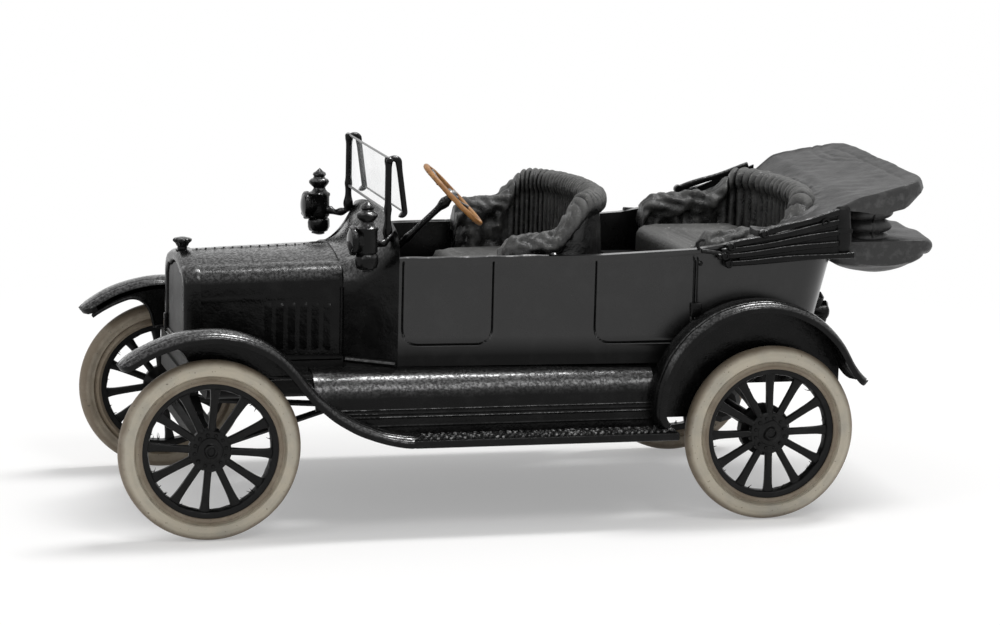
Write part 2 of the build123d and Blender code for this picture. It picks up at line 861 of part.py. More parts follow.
def horseshoe_plan(front_x, rear_x, crest_x, inset):
    """Plan of a seat back: straight arms and a round back, smaller by inset."""
    half = seat_half - inset
    bend_x = crest_x - inset / 2
    edges = [
        Line((front_x, -half), (bend_x, -half)),
        ThreePointArc((bend_x, -half), (rear_x - inset, 0), (bend_x, half)),
        Line((bend_x, half), (front_x, half)),
        Line((front_x, half), (front_x, -half)),
    ]
    return make_face(edges)


def seat_back(front_x, rear_x, crest_x, arm_top, top):
    """A horseshoe of arms and back, its top edge rising from the arm ends to the crest."""
    outer = extrude(horseshoe_plan(front_x, rear_x, crest_x, 0), top)
    inner = extrude(horseshoe_plan(front_x - overrun, rear_x, crest_x, seat_back_thickness), top)
    knee_share = 0.25
    above = [
        (front_x - overrun, arm_top), ((front_x + crest_x) / 2, arm_top + (top - arm_top) * knee_share),
        (crest_x, top), (crest_x, top + overrun), (front_x - overrun, top + overrun),
    ]
    cut = extrude(Plane.XZ * make_face(Polyline(*above, close=True)), seat_half + overrun, both=True)
    back = (outer - inner - cut) & body_block(wall + seat_gap, sill_height, dash_x)
    return back - floor()


def cushion(front_x, rear_x, crest_x, top):
    """Seat cushion between the arms, rolled along its front edge."""
    plan = horseshoe_plan(front_x, rear_x, crest_x, seat_back_thickness)
    pad = Pos(0, 0, top - cushion_depth) * extrude(plan, cushion_depth)
    front_edges = pad.edges().filter_by(Axis.Y).group_by(Axis.X)[0]
    return fillet(front_edges.sort_by(Axis.Z)[-1], cushion_roll)


def windscreen_posts():
    """Two posts on the cowl with their feet."""
    foot_z = cowl_shoulder_height - post_foot
    left = box_between(
        (post_x - post_size / 2, -post_half - post_size / 2, foot_z),
        (post_x + post_size / 2, -post_half + post_size / 2, post_top),
    )
    left += box_between(
        (post_x - post_size, -post_half - post_size, foot_z),
        (post_x + post_size, -post_half + post_size / 2, foot_z + post_foot * 2),
    )
    return both_sides(left - cowl_loft(0))


def windscreen_lower_glass():
    """Pane between the posts."""
    half = post_half - post_size / 2
    return box_between(
        (post_x - pane_thickness / 2, -half, pane_bottom),
        (post_x + pane_thickness / 2, half, post_top - pane_top_drop),
    )


def folded_frame():
    """Side bars of the upper pane, folded back and hanging from the post tops."""
    top_x = post_x + fold_gap
    points = [
        (post_x, post_top), (top_x, post_top), (top_x + post_size / 2, post_top - post_size / 2),
        (fold_bottom_x + post_size / 2, fold_bottom), (fold_bottom_x - post_size / 2, fold_bottom),
        (top_x - post_size / 2, post_top - post_size), (post_x, post_top - post_size),
    ]
    bar = side_plate(points, post_half - post_size / 2, post_half + post_size / 2)
    return both_sides(bar - windscreen_posts())


def windscreen_upper_glass():
    """Pane between the folded side bars."""
    half = post_half - post_size / 2
    top_x = post_x + fold_gap
    points = [
        (top_x, post_top - post_size), (fold_bottom_x - pane_thickness / 2, fold_bottom),
        (fold_bottom_x + pane_thickness / 2, fold_bottom), (top_x + pane_thickness, post_top - post_size),
    ]
    return both_sides(side_plate(points, 0, half))


def steering_plane():
    """Plane of the steering wheel, its Z along the column away from the driver's feet."""
    slope = math.radians(steering_slope)
    return Plane(
        origin=(steering_hub_x, steering_side, steering_hub_height), x_dir=(0, 1, 0),
        z_dir=(math.cos(slope), 0, math.sin(slope)),
    )


def steering_wheel():
    """Rim, spokes and hub."""
    rim_section = RegularPolygon(steering_rim_thickness, steering_rim_sides)
    wheel_body = revolve(Plane.XZ * Pos(steering_rim_radius, 0) * rim_section, Axis.Z)
    hub_half = steering_hub_thickness / 2
    wheel_body += turned([(steering_hub_radius, -hub_half), (steering_hub_radius, hub_half)])
    spoke = thin_rod((0, 0, 0), (steering_rim_radius, 0, 0), steering_spoke_radius)
    for turn in range(steering_spoke_count):
        wheel_body += Rot(0, 0, steering_spoke_turn + 360 * turn / steering_spoke_count) * spoke
    return steering_plane() * wheel_body


def steering_column():
    """Column from the firewall to the steering wheel's hub."""
    slope = math.radians(steering_slope)
    run = (steering_hub_x - bonnet_rear) / math.cos(slope)
    shaft = extrude(RegularPolygon(column_radius, thin_rod_sides), -run)
    placed = steering_plane() * Pos(0, 0, -steering_hub_thickness / 2) * shaft
    return placed - cowl() - box_between(
        (bonnet_front, -body_half_front, frame_bottom), (bonnet_rear + wall, body_half_front, post_top)
    )


def side_lamp():
    """Left lamp: oil font, body, crowned chimney, forward lens and arm to the cowl."""
    height_shares = (0.0, 0.05, 0.24, 0.26, 0.62, 0.68, 0.7, 0.92, 1.0)
    radii = (
        lamp_neck_radius, lamp_foot_radius, lamp_font_radius, lamp_body_radius, lamp_body_radius,
        lamp_collar_radius, lamp_neck_radius, lamp_crown_radius, lamp_tip_radius,
    )
    lamp = turned([(r, lamp_bottom + lamp_height * share) for r, share in zip(radii, height_shares)])
    lens_z = lamp_bottom + lamp_height * lamp_lens_share
    drum_end = lamp_lens_depth - lamp_lens_bulge
    lens = turned([
        (lamp_lens_radius, lamp_lens_start), (lamp_lens_radius, drum_end),
        (lamp_lens_face_radius, lamp_lens_depth),
    ])
    lens += thin_rod((0, 0, 0), (0, 0, drum_end), lamp_lens_neck)
    lamp += Pos(0, 0, lens_z) * (Rot(0, -90, 0) * lens)
    lamp = Pos(lamp_x, -lamp_half, 0) * lamp
    arm = thin_rod((lamp_x, -lamp_half, lens_z), (post_x, -post_half, lens_z), lamp_arm_radius)
    return lamp + (arm - cowl_loft(0) - windscreen_posts())


def tail_lamp():
    """Small drum lamp on a bracket at the body's left rear."""
    drum_start = (body_rear_high_x, tail_lamp_side, tail_lamp_height)
    drum_end = (body_rear_high_x + tail_lamp_length, tail_lamp_side, tail_lamp_height)
    arm_start = (body_rear_low_x, tail_lamp_side, tail_lamp_height)
    lamp = thin_rod(drum_start, drum_end, tail_lamp_radius, turned_sides)
    lamp += thin_rod(arm_start, drum_start, column_radius)
    return lamp - body_block(0, sill_height, dash_x)


def top_plan(half_front, half_rear, front_x, knee_x, rear_x):
    """Plan of the folded top as a tall prism."""
    corner = (half_front - half_rear) / 2
    right = [
        (rear_x, half_rear - corner), (rear_x - corner, half_rear),
        (knee_x, half_front), (front_x, half_front),
    ]
    left = [(x, -y) for x, y in reversed(right)]
    points = left + right
    return extrude(make_face(Polyline(*points, close=True)), post_top)


def top_sheet_piece():
    """Upper sheet of the folded top, open in front around the rear seat."""
    points = [
        (top_front, top_front_height), (top_knee_x, top_knee_height), (top_rear, top_rear_height),
        (top_rear, top_rear_height - top_sheet), (top_knee_x, top_knee_height - top_sheet),
        (top_front, top_front_height - top_sheet / 3),
    ]
    slab = extrude(Plane.XZ * make_face(Polyline(*points, close=True)), top_half_front + overrun, both=True)
    sheet = slab & top_plan(top_half_front, top_half_rear, top_front, top_knee_x, top_rear)
    gap = top_clearance
    seat = box_between(
        (top_front - overrun, -seat_half - gap, belt_front), (rear_back_crest_x, seat_half + gap, post_top)
    )
    round_back = Pos(rear_back_crest_x, 0, belt_front) * Cylinder(
        seat_half + gap, post_top - belt_front, align=standing
    )
    sheet -= seat
    sheet -= round_back & box_between(
        (rear_back_crest_x - overrun, -seat_half - gap, belt_front),
        (rear_back_rear + gap, seat_half + gap, post_top),
    )
    return sheet


def top_folds():
    """Folded cloth between the upper sheet and the lower lobe."""
    half = top_half_rear - fold_inset
    block = box_between((lobe_front, -half, lobe_high), (fold_rear, half, top_rear_height))
    points = [
        (top_knee_x, top_knee_height - top_sheet), (top_rear, top_rear_height - top_sheet),
        (top_rear, top_rear_height + overrun), (top_knee_x, top_rear_height + overrun),
    ]
    above = extrude(Plane.XZ * make_face(Polyline(*points, close=True)), top_half_front, both=True)
    return block - above


def top_lobe():
    """Lower lobe, bellied like a boat, behind the body's rear edge."""
    belly_x = (lobe_front + lobe_rear) / 2
    corner = (lobe_front, lobe_high - lobe_taper)
    tip = (lobe_rear, lobe_high - lobe_tip_drop)
    edges = [
        ThreePointArc(corner, (belly_x, lobe_high - lobe_depth), tip),
        Line(tip, (lobe_rear - lobe_taper, lobe_high)),
        Line((lobe_rear - lobe_taper, lobe_high), (lobe_front, lobe_high)),
        Line((lobe_front, lobe_high), corner),
    ]
    slab = extrude(Plane.XZ * make_face(edges), top_half_front, both=True)
    return slab & top_plan(lobe_half, lobe_half - lobe_taper, lobe_front, lobe_front + lobe_taper, lobe_rear)


def top_irons():
    """Left bundle of flat irons with eyes at their front ends, joined by a plate at the knee."""
    irons = None
    half = iron_height / 2
    for front_x, front_top, rear_top in iron_bars:
        outline = [
            (front_x, front_top - iron_height), (top_knee_x, rear_top - iron_height),
            (top_knee_x, rear_top), (front_x, front_top),
        ]
        bar = side_plate(outline, iron_inner, iron_inner + iron_thickness)
        eye_z = front_top - half
        eye_end = (front_x, -iron_inner - iron_eye_thickness, eye_z)
        bar += thin_rod((front_x, -iron_inner, eye_z), eye_end, iron_eye)
        irons = bar if irons is None else irons + bar
    low = iron_bars[-1][-1] - iron_height
    plate_low = (top_knee_x - iron_plate_length, -iron_inner - iron_thickness / 2, low)
    return irons + box_between(plate_low, (top_knee_x, -iron_inner, top_knee_height))


def export(name, shape):
    """Write one piece with the car's middle at X = 0."""
    export_step(Pos(-middle_x, 0, 0) * shape, f"parts/{name}.step")


single_pieces = {
    "front_axle": front_axle, "front_spring": front_spring, "rear_axle": rear_axle,
    "rear_spring": rear_spring, "drive_shaft": drive_shaft, "radius_rods": radius_rods,
    "chassis_frame": chassis_frame, "engine_sump": engine_sump, "bonnet": bonnet,
    "radiator_shell": radiator_shell, "radiator_core": radiator_core, "radiator_cap": radiator_cap,
    "cowl": cowl, "body_tub": body_tub, "floor": floor, "windscreen_posts": windscreen_posts,
    "windscreen_lower_glass": windscreen_lower_glass, "windscreen_upper_frame": folded_frame,
    "windscreen_upper_glass": windscreen_upper_glass, "steering_wheel": steering_wheel,
    "steering_column": steering_column, "tail_lamp": tail_lamp, "top_sheet": top_sheet_piece,
    "top_folds": top_folds, "top_lobe": top_lobe,
}
paired_pieces = {
    "front_fender": front_fender, "rear_fender": rear_fender, "running_board": running_board,
    "splash_apron": splash_apron, "side_lamp": side_lamp, "top_irons": top_irons,
}

os.makedirs("parts", exist_ok=True)
for name, make in single_pieces.items():
    export(name, make())
for name, make in paired_pieces.items():
    left_piece = make()
    export(f"{name}_left", left_piece)
    export(f"{name}_right", mirror(left_piece, about=Plane.XZ))
seats = (
    ("front", front_back_front, front_back_rear, front_back_crest_x, front_arm_top, front_back_top,
     front_cushion_front, front_cushion_top),
    ("rear", rear_back_front, rear_back_rear, rear_back_crest_x, rear_arm_top, rear_back_top,
     rear_cushion_front, rear_cushion_top),
)
for place, front_x, rear_x, crest_x, arm_top, back_top, cushion_front, cushion_top in seats:
    export(f"{place}_seat_back", seat_back(front_x, rear_x, crest_x, arm_top, back_top))
    export(f"{place}_seat_cushion", cushion(cushion_front, rear_x, crest_x, cushion_top))
for axle_name, axle_x in (("front", 0), ("rear", rear_axle_x)):
    for side_name, side in (("left", -1), ("right", 1)):
        export(f"tyre_{axle_name}_{side_name}", on_wheel(side, axle_x) * tyre())
        export(f"wheel_{axle_name}_{side_name}", on_wheel(side, axle_x) * wheel())
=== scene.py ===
"""Looks of a small scale model of an open touring car of the brass era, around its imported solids.

Places are in millimetres from the front axle: X rearward, Y to the car's right, Z up from the ground.
"""
import json
import math

import bmesh
import bpy
import numpy as np
from mathutils import Matrix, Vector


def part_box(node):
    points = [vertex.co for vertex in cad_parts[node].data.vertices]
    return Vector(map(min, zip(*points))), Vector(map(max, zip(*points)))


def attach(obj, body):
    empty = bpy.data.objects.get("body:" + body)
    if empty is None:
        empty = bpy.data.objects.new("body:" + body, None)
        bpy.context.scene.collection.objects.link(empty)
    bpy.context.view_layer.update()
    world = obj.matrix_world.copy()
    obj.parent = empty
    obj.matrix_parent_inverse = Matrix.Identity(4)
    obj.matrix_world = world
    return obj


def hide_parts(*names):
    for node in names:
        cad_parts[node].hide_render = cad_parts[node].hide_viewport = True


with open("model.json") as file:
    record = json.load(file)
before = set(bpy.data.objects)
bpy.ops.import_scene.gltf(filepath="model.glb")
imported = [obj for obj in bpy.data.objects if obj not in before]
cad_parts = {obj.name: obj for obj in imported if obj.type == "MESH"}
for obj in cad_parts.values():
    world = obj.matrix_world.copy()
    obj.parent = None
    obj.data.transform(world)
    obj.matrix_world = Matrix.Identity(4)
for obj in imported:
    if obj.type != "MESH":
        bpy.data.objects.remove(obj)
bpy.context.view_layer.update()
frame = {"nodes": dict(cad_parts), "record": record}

# Units and the places that the frame gives, in millimetres
mm = 0.001


def node_box(name):
    """Lowest and highest corner of a node, in millimetres from the front axle."""
    low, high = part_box(name)
    shift = np.array([front_axle_x, 0, 0])
    return np.array(low) / mm - shift, np.array(high) / mm - shift


front_axle_x = 0.0
tyre_low, tyre_high = node_box("tyre_front_left")
front_axle_x = (tyre_low[0] + tyre_high[0]) / 2
rear_low, rear_high = node_box("tyre_rear_left")
wheelbase = (rear_low[0] + rear_high[0]) / 2
tyre_radius = (tyre_high[2] - tyre_low[2]) / 2
tyre_width = tyre_high[1] - tyre_low[1]
wheel_half = -(tyre_low[1] + tyre_high[1]) / 2
bonnet_low, bonnet_high = node_box("bonnet")
cowl_high = node_box("cowl")[1]
sill_height = node_box("body_tub")[0][2]
board_low, board_high = node_box("running_board_left")
post_high = node_box("windscreen_posts")[1]


# Shapes as arrays of points

def xyz(x, y, z):
    """Points from three coordinates, each an array or one value for all."""
    return np.stack(np.broadcast_arrays(x, y, z), -1)


def signed_power(value, power):
    """A power of the size of a value, with the value's sign."""
    return np.sign(value) * abs(value) ** power


def grid_faces(rows, columns, close_rows=False, close_columns=False):
    """Quads of a grid whose points are numbered row by row."""
    row, column = np.meshgrid(
        np.arange(rows if close_rows else rows - 1),
        np.arange(columns if close_columns else columns - 1), indexing="ij",
    )
    next_row = (row + 1) % rows
    next_column = (column + 1) % columns
    corners = (
        row * columns + column, next_row * columns + column,
        next_row * columns + next_column, row * columns + next_column,
    )
    return np.stack(corners, -1).reshape(-1, 4)


def wall(outer, inner, closed=False):
    """Solid between two grids of points; closed joins the last row to the first."""
    rows, columns, _ = outer.shape
    total = rows * columns
    quads = grid_faces(rows, columns, closed)
    index = np.arange(total).reshape(rows, columns)
    if closed:
        borders = [np.append(index[:, 0], index[0, 0]), np.append(index[:, -1], index[0, -1])[::-1]]
    else:
        border = [index[0, :], index[1:, -1], index[-1, -2::-1], index[-2::-1, 0]]
        borders = [np.concatenate(border)]
    rims = [np.stack([b[:-1], b[1:], b[1:] + total, b[:-1] + total], -1) for b in borders]
    points = np.concatenate([outer.reshape(-1, 3), inner.reshape(-1, 3)])
    return points, np.concatenate([quads, quads[:, ::-1] + total, *rims]), np.zeros((0, 3), int)


def tube(rings, closed=False):
    """Solid through rings of points, with a fan on each end unless the last ring joins the first."""
    rows, columns, _ = rings.shape
    points = rings.reshape(-1, 3)
    quads = grid_faces(rows, columns, closed, True)
    if closed:
        return points, quads, np.zeros((0, 3), int)
    around = np.arange(columns)
    after = (around + 1) % columns
    last = (rows - 1) * columns
    near = np.stack([after, around, np.full(columns, len(points))], -1)
    far = np.stack([last + around, last + after, np.full(columns, len(points) + 1)], -1)
    middles = np.stack([rings[0].mean(0), rings[-1].mean(0)])
    return np.concatenate([points, middles]), quads, np.concatenate([near, far])


def join(*solids):
    """One set of points and faces from several."""
    points, quads, triangles, start = [], [], [], 0
    for solid in solids:
        points.append(solid[0])
        quads.append(solid[1] + start)
        triangles.append(solid[2] + start)
        start += len(solid[0])
    return np.concatenate(points), np.concatenate(quads), np.concatenate(triangles)


def mirrored(solid):
    """The same solid on the other side of the car."""
    return solid[0] * (1, -1, 1), solid[1], solid[2]


def both(solid):
    """A solid and its mirror image."""
    return join(solid, mirrored(solid))


def copies(solid, places):
    """The same solid at each of several places, as one."""
    count = len(solid[0])
    places = np.asarray(places, float)
    starts = (np.arange(len(places)) * count)[:, None, None]
    return (
        (solid[0] + places[:, None]).reshape(-1, 3),
        (solid[1] + starts).reshape(-1, 4), (solid[2] + starts).reshape(-1, 3),
    )


def ripple(points, size, seed):
    """Smooth uneven height from -1 to 1: sines of about one size in directions drawn from a seed."""
    draw = np.random.default_rng(seed)
    ways = draw.normal(size=(7, 3))
    ways *= 2 * math.pi / size / np.linalg.norm(ways, axis=1, keepdims=True)
    phases = draw.uniform(0, 2 * math.pi, 7)
    return np.sin(points @ ways.T + phases).sum(-1) / 4


def roughened(solid, height, size, seed, ways=(1, 1, 1)):
    """A solid whose points are pushed by a ripple, by its height times each way's share."""
    points, quads, triangles = solid
    return points + height * ripple(points, size, seed)[:, None] * ways, quads, triangles


def bump_at(value, centre, width):
    """A rounded ridge of height 1 around a value."""
    return np.exp(-((value - centre) / width) ** 2)


def smooth_step(value, low, high):
    """Rises smoothly from 0 at low to 1 at high."""
    share = np.clip((value - low) / (high - low), 0, 1)
    return share * share * (3 - 2 * share)


def tangent_arc(start, heading, end, count):
    """Arc in a plane that leaves start at a heading in radians: its points and the heading at each."""
    step = np.subtract(end, start)
    turn = math.remainder(math.atan2(step[1], step[0]) - heading, 2 * math.pi)
    radius = math.hypot(*step) / (2 * math.sin(turn))
    angle = 2 * turn * np.linspace(0, 1, count)
    along, aside = radius * np.sin(angle), radius * (1 - np.cos(angle))
    east = start[0] + along * math.cos(heading) - aside * math.sin(heading)
    north = start[1] + along * math.sin(heading) + aside * math.cos(heading)
    return np.stack([east, north], -1), heading + angle


def heading_into(start, end, arrival):
    """Heading at which an arc leaves start to reach end at the arrival heading."""
    return 2 * math.atan2(end[1] - start[1], end[0] - start[0]) - arrival


def arc_through(start, middle, end, count):
    """Points of the circular arc from start to end that passes through middle."""
    a, b, c = (np.array(p, float) for p in (start, middle, end))
    chord_angle = math.atan2(*(c - a)[::-1])
    turn = math.remainder(math.atan2(*(b - a)[::-1]) - chord_angle, 2 * math.pi)
    turn += math.remainder(chord_angle - math.atan2(*(c - b)[::-1]), 2 * math.pi)
    return tangent_arc(a, chord_angle + turn, c, count)[0]


def tube_along(path, radius, sides=10, flat=1.0):
    """Round rod along points in space; radius may vary, and flat squeezes it along its second axis."""
    path = np.asarray(path, float)
    along = np.gradient(path, axis=0)
    along /= np.linalg.norm(along, axis=1, keepdims=True)
    guide = np.array([0.0, 1.0, 0.0]) if abs(along[:, 1]).max() < 0.9 else np.array([1.0, 0.0, 0.0])
    first = np.cross(along, guide)
    first /= np.linalg.norm(first, axis=1, keepdims=True)
    second = np.cross(along, first)
    angle = np.linspace(0, 2 * math.pi, sides, endpoint=False)
    radius = np.broadcast_to(radius, len(path))[:, None, None]
    ring = np.cos(angle)[None, :, None] * first[:, None] + flat * np.sin(angle)[None, :, None] * second[:,
                                                                                                        None]
    return tube(path[:, None] + radius * ring)


def revolved(profile, centre, axis="y", side=1, turns=96, closed=False):
    """A profile of radius and height turned about an axis; height runs to the side's direction."""
    profile = np.asarray(profile, float)
    angle = np.linspace(0, 2 * math.pi, turns, endpoint=False)[:, None]
    east, north = profile[:, 0] * np.cos(angle), profile[:, 0] * np.sin(angle)
    height = np.broadcast_to(side * profile[:, 1], east.shape)
    order = {"x": (height, east, north), "y": (east, height, north), "z": (east, north, height)}[axis]
    points = np.stack(order, -1) + np.asarray(centre, float)
    quads = grid_faces(turns, len(profile), True, closed)
    return points.reshape(-1, 3), quads, np.zeros((0, 3), int)


def block(low, high, round_off=0.04):
    """A box with softened edges: nested rounded rectangles stacked along Z."""
    low, high = np.array(low, float), np.array(high, float)
    soft = min(round_off, *((high - low) / 2 * 0.9))
    corner = np.linspace(0, math.pi / 2, 4)
    rings = []
    for height, inset in ((low[2], soft), (low[2] + soft * 0.3, soft * 0.3), (low[2] + soft, 0),
                          (high[2] - soft, 0), (high[2] - soft * 0.3, soft * 0.3), (high[2], soft)):
        ring = []
        for turn, (x, y) in enumerate(((high[0], high[1]), (low[0], high[1]), (low[0], low[1]),
                                       (high[0], low[1]))):
            signs = ((-1, -1), (1, -1), (1, 1), (-1, 1))[turn]
            middle = np.array([x + signs[0] * soft, y + signs[1] * soft])
            reach = soft - inset
            angle = corner + turn * math.pi / 2
            ring.append(middle + reach * np.stack([np.cos(angle), np.sin(angle)], -1))
        ring = np.concatenate(ring)
        rings.append(np.insert(ring, 2, height, 1))
    return tube(np.array(rings))


def piece(name, solid, material, replaced=(), crease=38.0, shade_and_wear=None, body="car"):
    """A Blender object of a solid in millimetres from the front axle, with a 0 to 1 painted-shading mask for
    each point.
    """
    points, quads, triangles = solid
    mesh = bpy.data.meshes.new(name)
    placed = (points + (front_axle_x, 0, 0)) * mm
    mesh.from_pydata(placed.tolist(), [], quads.tolist() + triangles.tolist())
    if shade_and_wear is not None:
        mesh.attributes.new("shade_and_wear", "FLOAT", "POINT").data.foreach_set("value",
                                                                       np.ravel(shade_and_wear).astype(np.float32))
    work = bmesh.new()
    work.from_mesh(mesh)
    bmesh.ops.remove_doubles(work, verts=work.verts, dist=1e-8)
    bmesh.ops.recalc_face_normals(work, faces=work.faces)
    work.to_mesh(mesh)
    work.free()
    mesh.polygons.foreach_set("use_smooth", np.ones(len(mesh.polygons), bool))
    mesh.set_sharp_from_angle(angle=math.radians(crease))
    made = bpy.data.objects.new(name, mesh)
    bpy.context.scene.collection.objects.link(made)
    mesh.materials.append(material)
    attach(made, body)
    if replaced:
        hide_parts(*replaced)
    return made


# Shader maths

class Wire:
    """A node's output; its operators add Math nodes, and add makes any other node."""

    def __init__(self, tree, socket):
        self.tree = tree
        self.socket = socket

    @staticmethod
    def add(tree, kind, settings, inputs, output=0):
        """A node of a kind, its settings made first, then its sockets' values or links."""
        made = tree.nodes.new(kind)
        for name, value in settings.items():
            if name == "stops":
                for stop, (place, colour) in zip(made.color_ramp.elements, value):
                    stop.position = place
                    stop.color = colour
            else:
                setattr(made, name, value)
        for name, value in inputs.items():
            if isinstance(value, Wire):
                tree.links.new(value.socket, made.inputs[name])
            else:
                made.inputs[name].default_value = value
        return Wire(tree, made.outputs[output])

    def maths(self, operation, first, second=None, clamp=False):
        """A Math node on one or two values."""
        inputs = {0: first} if second is None else {0: first, 1: second}
        return Wire.add(self.tree, "ShaderNodeMath", {"operation": operation, "use_clamp": clamp}, inputs)

    def __add__(self, other):
        return self.maths("ADD", self, other)

    __radd__ = __add__

    def __mul__(self, other):
        return self.maths("MULTIPLY", self, other)

    __rmul__ = __mul__

    def __sub__(self, other):
        return self.maths("SUBTRACT", self, other)

    def __rsub__(self, other):
        return self.maths("SUBTRACT", other, self)

    def __pow__(self, power):
        return self.maths("POWER", self, power)

    def above(self, low, high):
        """0 at low and 1 at high, held between."""
        span = 1 / (high - low)
        return self.maths("ADD", self * span, -low * span, True)


def noise(tree, size, detail=2.0, roughness=0.5, stretch=(1, 1, 1), distortion=0.0):
    """Noise whose spots are about size millimetres across, on Object coordinates."""
    place = Wire.add(tree, "ShaderNodeTexCoord", {}, {}, "Object")
    place = Wire.add(tree, "ShaderNodeMapping", {},
                     {"Vector": place, "Scale": tuple(s / mm for s in stretch)})
    inputs = {"Vector": place, "Scale": 0.5 / size, "Detail": detail, "Roughness": roughness,
              "Distortion": distortion}
    return Wire.add(tree, "ShaderNodeTexNoise", {}, inputs)


def mixed(tree, share, first, second):
    """One colour over another by a share."""
    return Wire.add(tree, "ShaderNodeMix", {"data_type": "RGBA"},
                    {"Factor": share, 6: first, 7: second}, 2)


def shader(name, base, roughness, height=None, depth=0.01, coat=0.0, **constants):
    """A Principled material; functions of its tree give colour, roughness, bump height and coat."""
    material = bpy.data.materials.new(name)
    material.use_nodes = True
    tree = material.node_tree
    principled = tree.nodes["Principled BSDF"]
    for socket, value in constants.items():
        principled.inputs[socket.replace("_", " ")].default_value = value
    for socket, value in (("Base Color", base), ("Roughness", roughness), ("Coat Weight", coat)):
        value = value(tree) if callable(value) else value
        if isinstance(value, Wire):
            tree.links.new(value.socket, principled.inputs[socket])
        else:
            principled.inputs[socket].default_value = value
    if height:
        inputs = {"Height": height(tree), "Strength": 1.0, "Distance": depth * mm}
        bump = Wire.add(tree, "ShaderNodeBump", {}, inputs)
        tree.links.new(bump.socket, principled.inputs["Normal"])
    return material


def grey(level, tint=(1, 1, 1)):
    """A dark or light neutral colour, slightly tinted."""
    return (level * tint[0], level * tint[1], level * tint[2], 1)


def worn_black(dark, light, spot):
    """Black whose dust and rubbed places are a little lighter."""
    return lambda tree: mixed(
        tree, noise(tree, spot, 4.0, 0.6).above(0.5, 0.72), grey(dark), grey(light)
    )


def upward_gloss(low, high, most, size):
    """Coat that grows where a surface faces up, broken into fine grains."""
    def coat(tree):
        faces = Wire.add(tree, "ShaderNodeNewGeometry", {}, {}, "Normal")
        up = Wire.add(tree, "ShaderNodeSeparateXYZ", {}, {"Vector": faces}, "Z").above(low, high)
        grains = noise(tree, size, 2.0, 0.6).above(0.42, 0.62) * 0.8 + 0.2
        return up * grains * most
    return coat


def panel_gloss(low, high, most):
    """Coat on the body's sides that fades out below the doors."""
    def coat(tree):
        place = Wire.add(tree, "ShaderNodeTexCoord", {}, {}, "Object")
        height = Wire.add(tree, "ShaderNodeSeparateXYZ", {}, {"Vector": place}, "Z").above(low * mm,
                                                                                           high * mm)
        return height * (noise(tree, 1.5, 2.0) * 0.1 + most)
    return coat


def gloss_paint(name, grain_depth, roughness, gloss):
    """Sprayed gloss black: fine pebble grain, lighter dusty places, more gloss on upward faces."""
    return shader(
        name, worn_black(0.003, 0.008, 0.5),
        lambda tree: noise(tree, 0.6, 3.0).above(0.2, 0.9) * 0.16 + (roughness - 0.05),
        lambda tree: noise(tree, 0.05, 2.0, 0.6) + 1.4 * noise(tree, 0.16, 1.0),
        grain_depth, upward_gloss(0.25, 0.75, 1.0, 0.07),
        Specular_IOR_Level=gloss, Coat_Roughness=0.2, Coat_IOR=1.8,
    )


def charcoal(name, dark, light, spot, grain, depth, roughness, gloss=0.3):
    """Matt charcoal cast surface with lighter rubbed grain."""
    return shader(
        name, worn_black(dark, light, spot),
        lambda tree: noise(tree, spot * 2, 3.0) * 0.2 + (roughness - 0.1),
        lambda tree: noise(tree, grain, 3.0, 0.65) + noise(tree, grain * 4, 2.0), depth,
        Specular_IOR_Level=gloss,
    )


def rubbed(name, crevice, ridge, rough_low, rough_ridge, grain, depth):
    """Cast upholstery: black and glossy in its creases as painted shade, grey, matt and specked as painted
    light where the mask is high, broken by random wear.
    """
    def shading_and_wear(tree):
        # painted light and shade from the point mask, broken up by noise that stands for random wear
        shade_and_wear = Wire.add(tree, "ShaderNodeAttribute", {"attribute_name": "shade_and_wear"}, {}, "Fac")
        return (shade_and_wear + (noise(tree, 0.35, 4.0, 0.65) - 0.5) * 0.9).above(0.1, 0.9)

    def colour(tree):
        specks = noise(tree, 0.05, 1.0).above(0.66, 0.74)
        cloth = mixed(tree, shading_and_wear(tree), grey(crevice), grey(ridge, (1, 1.0, 0.97)))
        return mixed(tree, specks * shading_and_wear(tree), cloth, grey(ridge * 2.6, (1, 0.98, 0.92)))

    return shader(
        name, colour, lambda tree: shading_and_wear(tree) * (rough_ridge - rough_low) + rough_low,
        lambda tree: noise(tree, grain, 3.0, 0.65) + noise(tree, grain * 3.5, 2.0), depth,
        Specular_IOR_Level=0.4,
    )


def tyre_ivory():
    """Aged ivory: grey and tan smudges, dark brown painted shade toward the tread, by the rim and on the
    inner side, mixed with random dirt, and dark specks.
    """
    def colour(tree):
        edge = Wire.add(tree, "ShaderNodeAttribute", {"attribute_name": "shade_and_wear"}, {}, "Fac")
        smudge = noise(tree, 1.1, 4.0, 0.6).above(0.42, 0.66)
        # painted shade in dark brown where the mask is high, broken by noise that stands for dirt
        shade_and_dirt = (edge + (noise(tree, 0.7, 4.0, 0.65) - 0.5) * 1.1).above(0.15, 1.0)
        speck = noise(tree, 0.07, 1.0).above(0.70, 0.76)
        clean = mixed(tree, smudge, (0.455, 0.41, 0.325, 1), (0.36, 0.335, 0.28, 1))
        dull = mixed(tree, shade_and_dirt, clean, (0.17, 0.135, 0.095, 1))
        return mixed(tree, speck * 0.7, dull, (0.07, 0.06, 0.045, 1))
    return shader(
        "ivory tyre", colour, lambda tree: noise(tree, 0.8) * 0.2 + 0.5,
        lambda tree: noise(tree, 0.12, 3.0, 0.6) + noise(tree, 0.5, 2.0), 0.02,
    )


def clear_pane():
    """Clear pane with faint dust."""
    material = shader("clear pane", grey(0.9, (0.97, 1, 1)), 0.04)
    tree = material.node_tree
    alpha = noise(tree, 1.2, 3.0).above(0.3, 1.0) * 0.05 + 0.05
    tree.links.new(alpha.socket, tree.nodes["Principled BSDF"].inputs["Alpha"])
    return material


